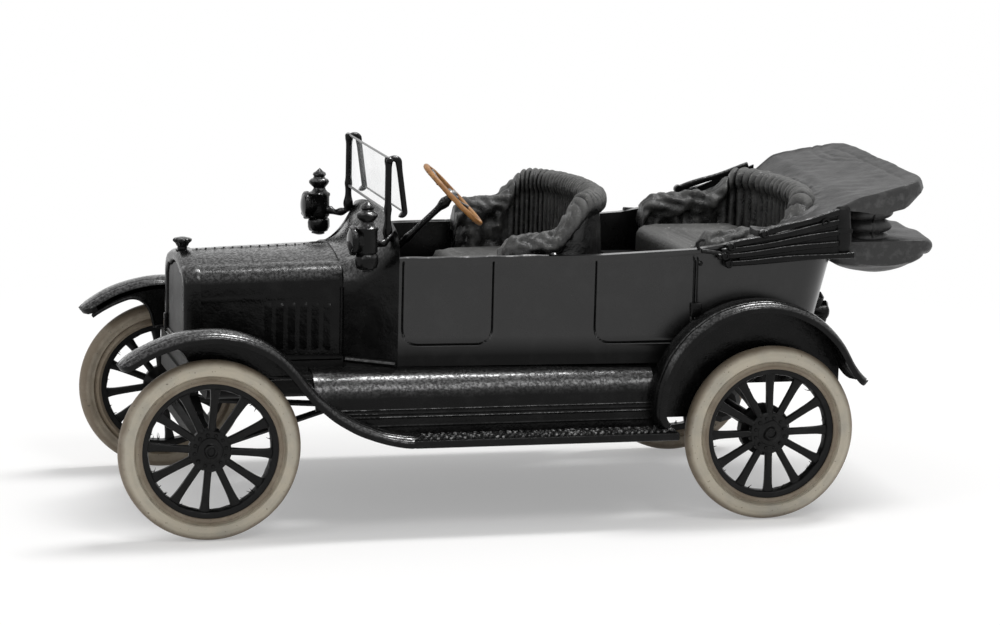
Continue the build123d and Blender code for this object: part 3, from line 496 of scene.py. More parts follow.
def tan_wood():
    """Painted tan rim with darker streaks."""
    return shader(
        "tan rim",
        lambda tree: mixed(
            tree, noise(tree, 0.25, 3.0).above(0.35, 0.7), (0.40, 0.19, 0.055, 1), (0.22, 0.095, 0.03, 1)
        ),
        lambda tree: noise(tree, 0.3) * 0.2 + 0.35,
        lambda tree: noise(tree, 0.1, 3.0), 0.015,
    )


paint = gloss_paint("gloss black paint", 0.010, 0.22, 0.14)
panel_paint = shader(
    "smooth black panel paint", worn_black(0.003, 0.007, 0.5), 0.28, lambda tree: noise(tree, 0.08, 2.0),
    0.002,
    panel_gloss(8.6, 9.6, 0.75), Specular_IOR_Level=0.1, Coat_Roughness=0.25,
)
rough_paint = gloss_paint("grainy black paint", 0.018, 0.24, 0.12)
satin = charcoal("satin black plastic", 0.003, 0.009, 0.4, 0.07, 0.012, 0.34, 0.16)
chassis_black = charcoal("chassis black", 0.003, 0.007, 0.6, 0.08, 0.012, 0.5, 0.2)
leather = charcoal("charcoal leathercloth", 0.006, 0.03, 0.16, 0.055, 0.035, 0.42, 0.35)
upholstery = rubbed("charcoal upholstery", 0.006, 0.095, 0.24, 0.6, 0.055, 0.035)
top_cloth = charcoal("charcoal top cloth", 0.022, 0.062, 0.22, 0.06, 0.022, 0.45, 0.4)
# the tread bars' light grey patches are painted highlights on their tops
tread_highlight_grey = charcoal("tread painted highlights", 0.02, 0.55, 0.12, 0.06, 0.01, 0.3)
core_grey = charcoal("grey radiator core", 0.03, 0.06, 0.2, 0.05, 0.02, 0.5)
ivory = tyre_ivory()
pane = clear_pane()
tan = tan_wood()
# bright paint: a painted highlight on the belt strips, and the steering spider's bright paint
bright_paint_and_highlight = shader(
    "bright paint and painted highlight", worn_black(0.12, 0.5, 0.2), 0.35, lambda tree: noise(tree, 0.08), 0.01, Metallic=0.8,
)
silver_grey = shader("grey pane edge", grey(0.16), 0.3, lambda tree: noise(tree, 0.08), 0.006)
lens_glass = shader("dark lamp glass", worn_black(0.006, 0.02, 0.4), 0.08)

node_finish = {
    "gloss_black": paint, "satin_black": chassis_black, "charcoal_leathercloth": leather,
    "charcoal_top": top_cloth, "clear_pane": pane, "ivory_tyre": ivory, "tan_rim": tan,
    "grey_core": core_grey,
}
for subpart in frame["record"]["subparts"]:
    shown = frame["nodes"][subpart["node"]]
    shown.data.materials.clear()
    shown.data.materials.append(node_finish[subpart["material_slot"]])


# Wheels and tyres

rim_radius = 3.66
felloe_radius = 3.08
felloe_half = 0.33
spoke_count = 12
flange_radius = 1.08
spoke_foot = 0.7
bolt_circle, pad_circle = 0.80, 1.06
bolt_profile = [(0, -0.05), (0.1, -0.05), (0.1, 0.03), (0.06, 0.08), (0, 0.09)]
pad_profile = [(0, -0.05), (0.13, -0.05), (0.12, 0.04), (0.06, 0.09), (0, 0.1)]
flash_hairs, flash_radius = 44, 0.035


def tyre_solid(centre, side, seed):
    """A ring of round section whose thin lips lie over the felloe's faces, a little uneven, and its painted
    shade: darker toward the tread, by the rim and on the side facing the car.
    """
    ring = tyre_radius - tyre_width / 2
    half = tyre_width / 2
    seat_angle = math.acos((rim_radius - ring) / half)
    angle = np.linspace(-seat_angle, seat_angle, 40)
    lip = 0.045 * (bump_at(abs(angle), 2.05, 0.1) - 0.8 * bump_at(abs(angle), 1.86, 0.06))
    groove = -0.02 * bump_at(angle, 1.25, 0.05)
    radius = half + lip + groove
    profile = np.stack([ring + radius * np.cos(angle), radius * np.sin(angle)], -1)
    lips = np.array([(0.02, 0.36), (-0.26, 0.40), (-0.24, 0.47), (-0.1, 0.55)]) + (rim_radius, 0)
    profile = np.concatenate([lips * (1, -1), profile[2:-2], lips[::-1]])
    points, quads, triangles = revolved(profile, (0, 0, 0), "y", side, 192, True)
    reach = np.hypot(points[:, 0], points[:, 2])
    inward = smooth_step(reach, rim_radius, ring + 0.3)
    swell = 1 - 0.004 * inward * (1 + ripple(points, 3.1, seed)) / 2
    points = points * np.stack([swell, np.ones_like(swell), swell], -1)
    # painted shade: the mask rises toward the tread, beside the rim and on the side that faces the car
    shade_and_wear = np.clip(1.25 - (tyre_radius - reach) / 0.3, 0, 1) + np.clip(1 - (reach - rim_radius) / 0.16, 0,
                                                                       1)
    shade_and_wear += 0.75 * smooth_step(-side * points[:, 1], -0.05, 0.3)
    return (points + centre, quads, triangles), np.clip(shade_and_wear, 0, 1)


def spoke_solid(angle, centre, side):
    """Tapered spoke of rounded section that flares where it meets the felloe and the hub."""
    share = np.linspace(0, 1, 18)[:, None]
    reach = spoke_foot + (felloe_radius + 0.1 - spoke_foot) * share
    around = np.linspace(0, 2 * math.pi, 12, endpoint=False)
    width = 0.17 + 0.05 * share + 0.11 * share ** 9 + 0.05 * (1 - share) ** 6
    across = width * signed_power(np.cos(around), 0.7)
    out = (0.19 - 0.03 * share) * signed_power(np.sin(around), 0.7)
    cos, sin = math.cos(angle), math.sin(angle)
    return tube(xyz(reach * cos - across * sin, side * (out + 0.02), reach * sin + across * cos) + centre)


def wheel_solid(centre, side, turn, seed):
    """Felloe with a stepped face, spokes, flange with bolts and pads, cap, and hairs of moulding flash."""
    draw = np.random.default_rng(seed)
    felloe = [
        (felloe_radius, -felloe_half), (felloe_radius - 0.02, 0.10),
        (felloe_radius + 0.05, felloe_half - 0.06),
        (felloe_radius + 0.12, felloe_half - 0.02), (rim_radius - 0.2, felloe_half),
        (rim_radius - 0.16, felloe_half + 0.05), (rim_radius + 0.02, felloe_half + 0.04),
        (rim_radius, felloe_half - 0.03), (rim_radius, -felloe_half),
        (rim_radius - 0.1, -felloe_half - 0.05), (felloe_radius + 0.1, -felloe_half - 0.05),
    ]
    points, quads, triangles = revolved(felloe, (0, 0, 0), "y", side, 144, True)
    reach = np.hypot(points[:, 0], points[:, 2])
    ragged = 0.02 * ripple(points, 0.45, seed) * smooth_step(-reach, -rim_radius + 0.3, -felloe_radius)
    points = points * (1 - ragged / reach)[:, None] ** np.array([1, 0, 1])
    parts = [(points + centre, quads, triangles)]
    hub = [
        (0, -0.4), (0.5, -0.4), (0.54, -0.36), (0.54, -0.22), (flange_radius - 0.05, -0.22),
        (flange_radius, -0.17),
        (flange_radius, 0.15), (flange_radius - 0.06, 0.21), (0.66, 0.23), (0.62, 0.29), (0.42, 0.31),
        (0.36, 0.36), (0.33, 0.50), (0.27, 0.55), (0.2, 0.54), (0.16, 0.47), (0, 0.46),
    ]
    parts.append(copies(roughened(revolved(hub, (0, 0, 0), "y", side, 48), 0.035, 0.55, seed + 3), [centre]))
    for index in range(spoke_count):
        angle = turn + 2 * math.pi * index / spoke_count
        parts.append(spoke_solid(angle, centre, side))
        for profile, circle, face, at in (
            (bolt_profile, bolt_circle, 0.2, angle + math.pi / spoke_count),
            (pad_profile, pad_circle, 0.16, angle),
        ):
            place = xyz(circle * math.cos(at), side * face, circle * math.sin(at)) + centre
            parts.append(revolved(profile, place, "y", side, 10))
    for _ in range(flash_hairs):
        angle = draw.uniform(0, 2 * math.pi)
        length = draw.uniform(0.08, 0.42) * draw.uniform(0.4, 1)
        share = np.linspace(0, 1, 5)[:, None]
        start = np.array([math.cos(angle), 0, math.sin(angle)]) * (felloe_radius + 0.03)
        lean = draw.normal(0, 0.5)
        way = np.array([-math.cos(angle + lean), draw.normal(0, 0.15), -math.sin(angle + lean)])
        bend = np.cross(way, (0, 1, 0)) * draw.normal(0, 0.5)
        path = start + length * (way * share + bend * share ** 2) + centre
        parts.append(tube_along(path, flash_radius * (1.15 - share[:, 0]), 5))
    return join(*parts)


# how far each wheel's spokes are turned, in radians
wheel_turns = {"front_left": 0.44, "rear_left": 0.02, "front_right": 0.13, "rear_right": 0.35}
for seed, (place, turn) in enumerate(wheel_turns.items()):
    side = -1 if place.endswith("left") else 1
    centre = np.array([wheelbase if place.startswith("rear") else 0.0, side * wheel_half, tyre_radius])
    body = f"wheel_{place}_body"
    rubber, edge_shade = tyre_solid(centre, side, seed + 5)
    spokes = wheel_solid(centre, side, turn, seed + 11)
    piece(f"tyre_{place}_rubber", rubber, ivory, [f"tyre_{place}"], shade_and_wear=edge_shade, body=body)
    piece(f"wheel_{place}_spokes", spokes, satin, [f"wheel_{place}"], body=body)


def joined_arcs(stops, heading, counts):
    """Arcs from stop to stop, each leaving at the heading that the last one reached."""
    points, headings = [], []
    for start, end, count in zip(stops, stops[1:], counts):
        arc, angle = tangent_arc(start, heading, end, count)
        points.append(arc[:-1])
        headings.append(angle[:-1])
        heading = angle[-1]
    return np.concatenate([*points, arc[-1:]]), np.concatenate([*headings, angle[-1:]])


def rounded_ring(low, high, radius, count):
    """Rounded rectangle in a plane, from one corner arc to the next, with count points to an arc."""
    arcs = []
    corners = ((high[0], high[1], -1, -1), (low[0], high[1], 1, -1), (low[0], low[1], 1, 1),
               (high[0], low[1], -1, 1))
    for turn, (x, y, inward_x, inward_y) in enumerate(corners):
        angle = np.linspace(0, math.pi / 2, count) + turn * math.pi / 2
        middle = (x + inward_x * radius, y + inward_y * radius)
        arcs.append(np.stack([middle[0] + radius * np.cos(angle), middle[1] + radius * np.sin(angle)], -1))
    return np.concatenate(arcs)


def strip_along(path, half_height, half_width, power=0.55, sides=16):
    """Flat bar along a path in X and Z: its section is a rounded rectangle of two half sizes."""
    path = np.asarray(path, float)
    along = np.gradient(path, axis=0)
    along /= np.linalg.norm(along, axis=1, keepdims=True)
    up = np.stack([-along[:, 2], np.zeros(len(path)), along[:, 0]], -1)
    angle = np.linspace(0, 2 * math.pi, sides, endpoint=False)
    across = signed_power(np.cos(angle), power)
    rise = signed_power(np.sin(angle), power)
    half_height = np.broadcast_to(half_height, len(path))[:, None, None]
    half_width = np.broadcast_to(half_width, len(path))[:, None, None]
    side = np.array([0.0, 1.0, 0.0])
    rings = path[:, None] + half_height * rise[None, :, None] * up[:, None]
    return tube(rings + half_width * across[None, :, None] * side)


# Fenders, aprons and running boards

fender_centre = 8.05
fender_half = 1.1
fender_inner = fender_centre - fender_half
fender_crown = 0.34
fender_thickness = 0.24
fender_nose_corner = 0.75
board_top = board_high[2]
board_start, board_end = board_low[0], board_high[0]
apron_face = 7.75
apron_roll = 1.75
apron_front, apron_rear = 5.4, 23.1
valance_height = 8.0
arch_wall_bottom = 7.0
# in front of the wheel the arch's wall reaches lower, by a drop that fades between two places
arch_foot_drop, arch_foot_front, arch_foot_rear = 1.7, 25.0, 26.2
rib_levels = (6.42, 6.22, 6.02, 5.84, 5.4)
board_high_half = fender_centre + fender_half

front_stops = ((-4.42, 8.7), (0.0, 10.3), (4.35, 8.05), (board_start + 0.35, board_top - 0.2))
rear_stops = ((board_end - 0.55, board_top + 0.2), (23.1, 5.9), (33.25, 8.3), (34.2, 7.1))


def fender_strip(path, headings, nose_corner, seed):
    """Strip along a path: its height across is a crown, 1 less the square, with beads near its edges."""
    run = np.concatenate([[0], np.cumsum(np.linalg.norm(np.diff(path, axis=0), axis=1))])
    total = run[-1]
    gap = np.clip(1 - run / nose_corner, 0, 1)
    tail = np.clip(1 - (total - run) / 0.5, 0, 1)
    half = fender_half - nose_corner * (1 - np.sqrt(1 - gap ** 2)) - 0.3 * (1 - np.sqrt(1 - tail ** 2))
    across = half[:, None] * np.linspace(-1, 1, 67)
    edge = half[:, None] - abs(across)
    height = fender_crown * (1 - (across / fender_half) ** 2)
    height += 0.07 * bump_at(edge, 0.09, 0.07) - 0.05 * bump_at(edge, 0.24, 0.06)
    height += 0.025 * bump_at(edge, 0.42, 0.06) - 0.03 * bump_at(edge, 0.56, 0.05)
    height -= 0.12 * gap[:, None] ** 2
    height += 0.012 * ripple(xyz(path[:, :1], across, path[:, 1:]), 1.3, seed)
    normal = np.stack([-np.sin(headings), np.cos(headings)], -1)[:, None]

    def level(rise):
        points = path[:, None] + normal * rise[..., None]
        return xyz(points[..., 0], across - fender_centre, points[..., 1])

    return wall(level(height), level(height - fender_thickness))


def hanging_plate(x, top, bottom, near, far):
    """Upright plate between two half widths, from a top line down to a bottom line."""
    share = np.linspace(0, 1, 9)
    z = top[:, None] + (bottom - top)[:, None] * share
    return wall(xyz(x[:, None], -near, z), xyz(x[:, None], -far, z))


front_path, front_headings = joined_arcs(front_stops, heading_into(*front_stops[:2], 0), (26, 26, 34))
rear_path, rear_headings = joined_arcs(rear_stops, heading_into(*rear_stops[:2], math.pi / 2), (8, 56, 12))


def front_fender():
    """Left front fender: strip, inner valance with a concave nose, and the shelf beside the bonnet."""
    strip = fender_strip(front_path, front_headings, fender_nose_corner, 21)
    x = np.linspace(-4.0, apron_front, 60)
    top = np.interp(x, front_path[:, 0], front_path[:, 1])
    nose = np.clip((-0.7 - x) / 1.5, 0, 1)
    bottom = valance_height + (top - 0.42 - valance_height) * np.sqrt(1 - (1 - nose) ** 2)
    bottom = np.minimum(bottom, top - 0.08)
    valance = hanging_plate(x, top, bottom, fender_inner, fender_inner + 0.22)
    flange = tube_along(xyz(x, -fender_inner, bottom + 0.03), 0.1, 8)
    shelf = block((0.3, -fender_inner - 0.1, valance_height - 0.25), (apron_front, -4.5, valance_height),
                  0.06)
    return join(strip, valance, flange, shelf)


def rear_fender():
    """Left rear fender: strip over the wheel and the wall of its arch."""
    strip = fender_strip(rear_path, rear_headings, 0.2, 22)
    over = rear_path[7:64]
    top = over[:, 1] - 0.05
    foot = arch_wall_bottom - arch_foot_drop * (1 - smooth_step(over[:, 0], arch_foot_front,
                                                                arch_foot_rear))
    arch = hanging_plate(over[:, 0], top, np.minimum(foot, top - 0.1), fender_inner, fender_inner + 0.24)
    return join(strip, arch)


def splash_apron():
    """Left apron: shelf, broad roll and upright face with fine ribs, carried along the sill."""
    x = np.linspace(apron_front, apron_rear, 200)
    angle = np.linspace(0, math.pi / 2, 22)
    roll_y = apron_face - apron_roll + apron_roll * np.sin(angle)
    roll_z = sill_height - apron_roll + apron_roll * np.cos(angle)
    face_share = np.linspace(0, 1, 40)[1:]
    shelf_y = np.linspace(5.6, roll_y[0], 6)[:-1]
    wall_top = sill_height - apron_roll
    bottom = np.maximum(board_top - 0.05, np.interp(x, front_path[:, 0], front_path[:, 1]) - 0.15)
    bottom = np.minimum(bottom, wall_top - 0.1)[:, None]
    y = np.concatenate([shelf_y, roll_y, np.full(39, apron_face)]) + 0 * bottom
    face_z = wall_top + (bottom - wall_top) * face_share
    z = np.concatenate([np.full(5, sill_height), roll_z]) + 0 * bottom
    z = np.concatenate([z, face_z], 1)
    ribs = sum(bump_at(z, level, 0.035) for level in rib_levels)
    grid = xyz(x[:, None], -y, z)
    outer = grid - xyz(0, 0.035 * ribs + 0.012 * ripple(grid, 1.7, 23), 0)
    inner = grid + xyz(0, 0.2 * (y > 5.7), 0) - (0, 0, 0.2)
    inner[..., 2] = np.maximum(inner[..., 2], np.minimum(bottom, inner[..., 2] + 0.2))
    return wall(outer, inner)


def running_board():
    """Left board with a rounded outer edge."""
    return block((board_start, -board_high_half, board_low[2]), (board_end, -7.15, board_top), 0.1)


def tread_bars():
    """Rows of slanted tread bars on the left board's top."""
    bar_x = np.arange(board_start + 0.5, board_end - 0.6, 0.34)
    lean = np.linspace(0, 1, 4)
    slants = []
    for y, slope in ((-8.95, 0.2), (-8.6, -0.2), (-8.25, 0.2), (-7.95, -0.2)):
        path = xyz(lean * slope, y + lean * 0.24, board_top + 0.03)
        slants.append(copies(tube_along(path, 0.06, 6), xyz(bar_x, 0, 0)))
    return join(*slants)


for name, solid, finish, nodes in (
    ("front_fender", front_fender(), paint, "front_fender"),
    ("rear_fender", rear_fender(), paint, "rear_fender"),
    ("apron", splash_apron(), rough_paint, "splash_apron"),
    ("board", running_board(), paint, "running_board"),
):
    piece(f"{name}_left_shape", solid, finish, [f"{nodes}_left"])
    piece(f"{name}_right_shape", mirrored(solid), finish, [f"{nodes}_right"])


piece("tread_bars_both", both(tread_bars()), tread_highlight_grey)


# Bonnet, radiator and cowl

bonnet_front, bonnet_rear = bonnet_low[0], bonnet_high[0]
bonnet_bottom = bonnet_low[2]
bonnet_top_rear = bonnet_high[2]
bonnet_top_front = bonnet_top_rear - 0.24
louvre_front, louvre_pitch, louvre_half = 3.62, 0.6, 0.18
louvre_middle, louvre_half_height, louvre_depth = 9.9, 1.17, 0.11
dash_x = cowl_high[0]


def arch_ring(half, hinge, shoulder_half, shoulder, top, bottom, counts=(34, 12, 24, 16)):
    """Section across the car: upright sides, round shoulders and a low arch, as a ring of Y and Z."""
    lean = 0.3
    corner = (half - (half - shoulder_half) * lean, hinge + (shoulder - hinge) * (1 - lean))
    side = np.stack([np.full(counts[0], half), np.linspace(bottom, hinge, counts[0])], -1)
    round_side = arc_through((half, hinge), corner, (shoulder_half, shoulder), counts[1])
    crown = arc_through((shoulder_half, shoulder), (0, top), (-shoulder_half, shoulder), 2 * counts[2])
    flip = np.array([-1, 1])
    under = np.stack([np.linspace(-half, half, counts[3]), np.full(counts[3], bottom)], -1)[1:-1]
    return np.concatenate([
        side[:-1], round_side[:-1], crown, (round_side * flip)[::-1][1:], (side * flip)[::-1][1:], under,
    ])


def bonnet_ring(x, grow=0.0, bottom=bonnet_bottom):
    """The bonnet's section at a place along it, larger at its sides and top by grow."""
    share = (x - bonnet_front) / (bonnet_rear - bonnet_front)
    top = bonnet_top_front + (bonnet_top_rear - bonnet_top_front) * share + grow
    return arch_ring(
        3.45 + 0.67 * share + grow, 11.7 + 0.4 * share, 2.4 + 0.55 * share + grow, top - 0.42, top,
        bottom,
    )


def bonnet():
    """Rings along the bonnet, raised by hinge ridges and by wedge louvres that end in a sharp step."""
    louvres = louvre_front + louvre_pitch * np.arange(6)
    steps = [louvres + step for step in (-louvre_half, louvre_half, louvre_half + 0.025)]
    x = np.unique(np.round(np.concatenate([np.linspace(bonnet_front, bonnet_rear, 110), *steps]), 4))
    rings = np.stack([bonnet_ring(value) for value in x])
    y, z = rings[..., 0], rings[..., 1]
    run = x[:, None, None] - louvres
    ramp = np.clip((run + louvre_half) / (2 * louvre_half), 0, 1) * (run < louvre_half + 0.01)
    reach = 1.15 * np.sqrt(np.clip(1 - ((z[..., None] - louvre_middle) / louvre_half_height) ** 8, 0, 1))
    wedge = (louvre_depth * ramp * smooth_step(reach, 0.0, 1.0)).sum(-1)
    side = (abs(y) > 3.3) & (z < 11.3)
    hinge_z = 11.2 + 0.35 * (x[:, None] - bonnet_front) / 7.2
    fold = 0.03 * bump_at(z, hinge_z, 0.07) * (abs(y) > 2.5)
    out = side * wedge + fold
    lift = 0.06 * bump_at(y, 0, 0.09) * (z > 12.5)
    grid = xyz(x[:, None], y + np.sign(y) * out, z + lift)
    uneven = 0.008 * ripple(grid, 1.6, 31)
    grid[..., 2] += uneven * (z > 12.2)
    grid[..., 1] += uneven * (z <= 12.2) * np.sign(y)
    grid[..., 2] = np.maximum(grid[..., 2], bonnet_bottom)
    knuckles = np.linspace(bonnet_front + 0.35, bonnet_rear - 0.3, 15)
    rise = (knuckles - bonnet_front) / (bonnet_rear - bonnet_front)
    top = bonnet_top_front + (bonnet_top_rear - bonnet_top_front) * rise
    places = xyz(knuckles, 0, top + 0.05)
    knob = revolved([(0, -0.05), (0.055, -0.05), (0.055, 0.01), (0.035, 0.035), (0, 0.04)], (0, 0, 0), "z",
                    1, 8)
    ledge = block((0.1, -4.6, bonnet_bottom - 0.25), (bonnet_rear, 4.6, bonnet_bottom - 0.02), 0.08)
    rear_lip = tube_along(xyz(bonnet_rear - 0.05, 4.17, 8.5 + 3.4 * np.linspace(0, 1, 8)), 0.07, 8)
    return join(tube(grid), copies(knob, places), ledge, both(rear_lip))


def radiator_shell():
    """Rings from the back edge over the rounded front and back inside, with feet and brackets."""
    # place along the car, growth of the section, and how far its lower edge is raised
    rim = ((0.24, 0.08, 0), (0.1, 0.1, 0), (-0.2, 0.06, 0), (-0.45, 0.0, 0), (-0.57, -0.08, 0),
           (-0.62, -0.2, 0.08),
           (-0.62, -0.42, 0.3), (-0.6, -0.5, 0.38), (-0.55, -0.57, 0.42), (-0.3, -0.62, 0.42),
           (0.24, -0.62, 0.42))
    rings = [
        np.insert(bonnet_ring(bonnet_front, grow, bonnet_bottom + raised), 0, x, 1) for x, grow,
        raised in rim
    ]
    shell = tube(np.array(rings), True)
    feet = both(block((-0.55, 2.2, bonnet_bottom - 0.35), (0.2, 3.3, bonnet_bottom + 0.1), 0.08))
    bracket = both(block((-0.72, 2.75, bonnet_bottom + 0.1), (-0.5, 3.1, bonnet_bottom + 1.1), 0.06))
    return join(shell, feet, bracket)


def radiator_cap():
    """Neck, knurled collar and flared cap, turned about an upright axis."""
    profile = [(0, -0.1), (0.34, -0.1), (0.36, 0.04), (0.26, 0.1), (0.25, 0.24), (0.3, 0.3), (0.33, 0.46),
               (0.42, 0.58), (0.46, 0.62), (0.46, 0.76), (0.42, 0.82), (0.3, 0.86), (0.16, 0.9), (0, 0.92)]
    points, quads, triangles = revolved(profile, (0, 0, 0), "z", 1, 72)
    reach = np.hypot(points[:, 0], points[:, 1])
    angle = np.arctan2(points[:, 1], points[:, 0])
    knurl = 1 + 0.07 * np.cos(12 * angle) * ((points[:, 2] > 0.4) & (points[:, 2] < 0.8)) * (reach > 0.3)
    lowered = points * np.stack([knurl, knurl, np.full_like(knurl, 0.74)], -1)
    return lowered + (-0.2, 0, bonnet_top_front + 0.02), quads, triangles


def cowl_ring(x, inset):
    """The cowl's section at a place along it: its top flares up by a power of the share of its length."""
    share = (x - bonnet_rear) / (dash_x - bonnet_rear)
    flare = share ** 2.2
    half = 4.12 + (6.1 - 4.12) * share - inset
    hinge = 11.4 + (13.53 - 11.4) * share
    shoulder_half = 2.95 + (4.95 - 2.95) * flare - inset
    top = bonnet_top_rear + 0.08 + (cowl_high[2] - bonnet_top_rear - 0.08) * flare
    drop = 0.42 + (0.55 - 0.42) * flare
    ring = arch_ring(half, hinge, shoulder_half, top - drop - inset, top - inset, sill_height)
    return np.insert(ring, 0, x, 1)


def cowl():
    """Rings back over the flare to a rolled dash edge, then forward inside to the firewall."""
    outside = [cowl_ring(x, 0) for x in np.linspace(bonnet_rear, dash_x, 40)]
    edge = [cowl_ring(dash_x, 0.05) + (0.03, 0, 0), cowl_ring(dash_x, 0.16) + (0.03, 0, 0)]
    inside = [cowl_ring(x, 0.3) for x in np.linspace(dash_x, bonnet_rear + 0.45, 12)]
    grid = np.array(outside + edge + inside)
    grid[:40, :, 1] += 0.012 * ripple(grid[:40], 1.3, 33) * np.sign(grid[:40, :, 1])
    share = np.linspace(0, 1, 8)
    fillet = tube_along(xyz(bonnet_rear + 2.42 * share, 4.3 + 1.82 * share, sill_height + 0.12), 0.16, 8)
    return join(tube(grid), both(fillet))


piece("bonnet_shape", bonnet(), rough_paint, ["bonnet"], 30)
piece("radiator_shell_shape", radiator_shell(), paint, ["radiator_shell"])
piece("radiator_cap_shape", radiator_cap(), paint, ["radiator_cap"])
piece("cowl_shape", cowl(), paint, ["cowl"])


# Body tub

belt_x = np.array([9.9, 20.0, 25.3, 27.7, 34.5])
belt_z = np.array([13.53, 13.62, 13.9, 14.3, 14.55])
door_bottom, door_top, door_corner = 9.2, 13.42, 0.8
# front edge and length of each door
doors = ((10.1, 4.64), (20.1, 5.22))
tub_front, corner_start, tub_rear, tub_rear_low = 9.9, 31.2, 33.7, 31.9
side_plan_x, side_plan_half = [tub_front, 20.0, 27.0, corner_start], [6.1, 6.62, 6.98, 6.75]
corner_half, tail_half, corner_bend, tail_bow = 6.75, 4.7, 0.72, 0.3
tub_wall = 0.4
belt_strip_front, belt_strip_rear = 9.95, 17.6
straight_height, belt_rear_height = 4.9, 14.55


def door_distance(x, z, start, length):
    """Distance from the line of a door: a rectangle with round lower corners, open at its top."""
    across = abs(x - (start + length / 2)) - (length / 2 - door_corner)
    down = (door_bottom + door_corner) - z
    outside = np.hypot(np.maximum(across, 0), np.maximum(down, 0))
    inside = np.minimum(np.maximum(across, down), 0)
    return np.where(z < door_top, abs(outside + inside - door_corner), 9.0)


def body_tub():
    """Sides and tail as a wall: plan line by height, pressed in at the doors, with a bead along the belt."""
    edges = np.concatenate([[start, start + length] for start, length in doors])
    fine = (edges[:, None] + np.linspace(-0.16, 0.16, 17)).ravel()
    bends = np.concatenate([np.linspace(e - 0.9 * s, e, 9) for e, s in zip(edges, (-1, 1, -1, 1))])
    side_x = np.unique(np.round(np.concatenate([np.linspace(tub_front, corner_start, 62), fine, bends]), 3))
    side_x = side_x[(side_x >= tub_front) & (side_x <= corner_start)]
    side_half = np.interp(side_x, side_plan_x, side_plan_half)
    rows_z = np.concatenate([np.linspace(0, 0.9, 5), 1.1 + np.linspace(-0.16, 0.16, 17),
                             np.linspace(1.35, 4.85, 24)])
    share_rows = np.concatenate([0 * rows_z, np.linspace(0.08, 1, 14)])
    level = np.concatenate([rows_z, np.full(14, straight_height)])

    def plan(rear_x, inset):
        tail_x, tail_y = rear_x - inset, tail_half - inset / 2
        bend_x = corner_start + (tail_x - corner_start) * corner_bend
        bend_y = tail_half + (corner_half - tail_half) * corner_bend - inset * 0.86
        corner = arc_through((corner_start, corner_half - inset), (bend_x, bend_y), (tail_x, tail_y),
                             26)[1:]
        tail = arc_through((tail_x, tail_y), (tail_x + tail_bow, 0), (tail_x, -tail_y), 24)[1:]
        right = np.concatenate([np.stack([side_x, side_half - inset], -1), corner, tail[:11]])
        left = (right * (1, -1))[::-1]
        return np.concatenate([right, tail[11:12], left])

    low_plan, high_plan = plan(tub_rear_low, 0), plan(tub_rear, 0)
    low_in, high_in = plan(tub_rear_low, tub_wall), plan(tub_rear, tub_wall)
    belt = np.interp(high_plan[:, 0], belt_x, belt_z)
    z = sill_height + level[None] + share_rows[None] * (belt[:, None] - sill_height - straight_height)
    share = (z - sill_height) / (belt_rear_height - sill_height)
    outer = low_plan[:, None] + (high_plan - low_plan)[:, None] * share[..., None]
    inner = low_in[:, None] + (high_in - low_in)[:, None] * share[..., None]
    normal = np.gradient(high_plan, axis=0)
    normal = np.stack([normal[:, 1], -normal[:, 0]], -1)
    normal /= -np.linalg.norm(normal, axis=1, keepdims=True)
    press = 0 * z
    for start, length in doors:
        away = door_distance(outer[..., 0], z, start, length)
        press -= 0.085 * np.exp(-(away / 0.034) ** 2) * (abs(outer[..., 1]) > 5.5)
        press += 0.022 * np.exp(-((away - 0.1) / 0.05) ** 2) * (abs(outer[..., 1]) > 5.5)
    below = belt[:, None] - z
    press += 0.09 * bump_at(below, 0.06, 0.1)
    z = z + 0.12 * np.exp(-(below / 0.1) ** 2)
    press += 0.012 * ripple(np.dstack([outer, z]), 2.4, 41)
    outer = outer + normal[:, None] * press[..., None]
    return wall(np.dstack([outer, z]), np.dstack([inner, z]))


def door_fittings():
    """Left hinge rods behind the rear door, with a boss and a latch, and a knob on the belt."""
    rods = [tube_along(xyz(rod_x, -6.99, 11.2 + 2.4 * np.linspace(0, 1, 8)), 0.035, 8) for rod_x in (25.24,
                                                                                                     25.43)]
    boss_profile = [(0, -0.06), (0.12, -0.06), (0.13, 0.03), (0.08, 0.1), (0, 0.12)]
    boss = revolved(boss_profile, (25.55, -6.98, 13.3), "y", -1, 12)
    latch = block((25.1, -7.12, 10.5), (25.7, -6.9, 11.25), 0.08)
    knob_profile = [(0, 0), (0.2, 0), (0.24, 0.1), (0.2, 0.3), (0.1, 0.38), (0, 0.38)]
    return join(*rods, boss, latch, revolved(knob_profile, (17.9, -6.35, 13.5), "z", 1, 16))


def belt_strip():
    """Left painted highlight along the top of the belt beside the front seat: a bright line, a little wavy
    and uneven in thickness.
    """
    share = np.linspace(0, 1, 60)
    x = belt_strip_front + (belt_strip_rear - belt_strip_front) * share
    half = np.interp(x, side_plan_x, side_plan_half)
    path = xyz(x, -half + 0.06, 13.65 + 0.09 * share + 0.012 * np.sin(23 * share))
    return tube_along(path, 0.06 + 0.012 * np.sin(17 * share), 8)


piece("belt_strips", both(belt_strip()), bright_paint_and_highlight)
piece("body_shape", body_tub(), panel_paint, ["body_tub"])
piece("door_fittings", both(door_fittings()), paint)


# Seats: horseshoe backs with pleats and tufted arms, and cushions between the arms

seat_half = 5.75
seat_thickness = 1.35
seat_low = 8.6


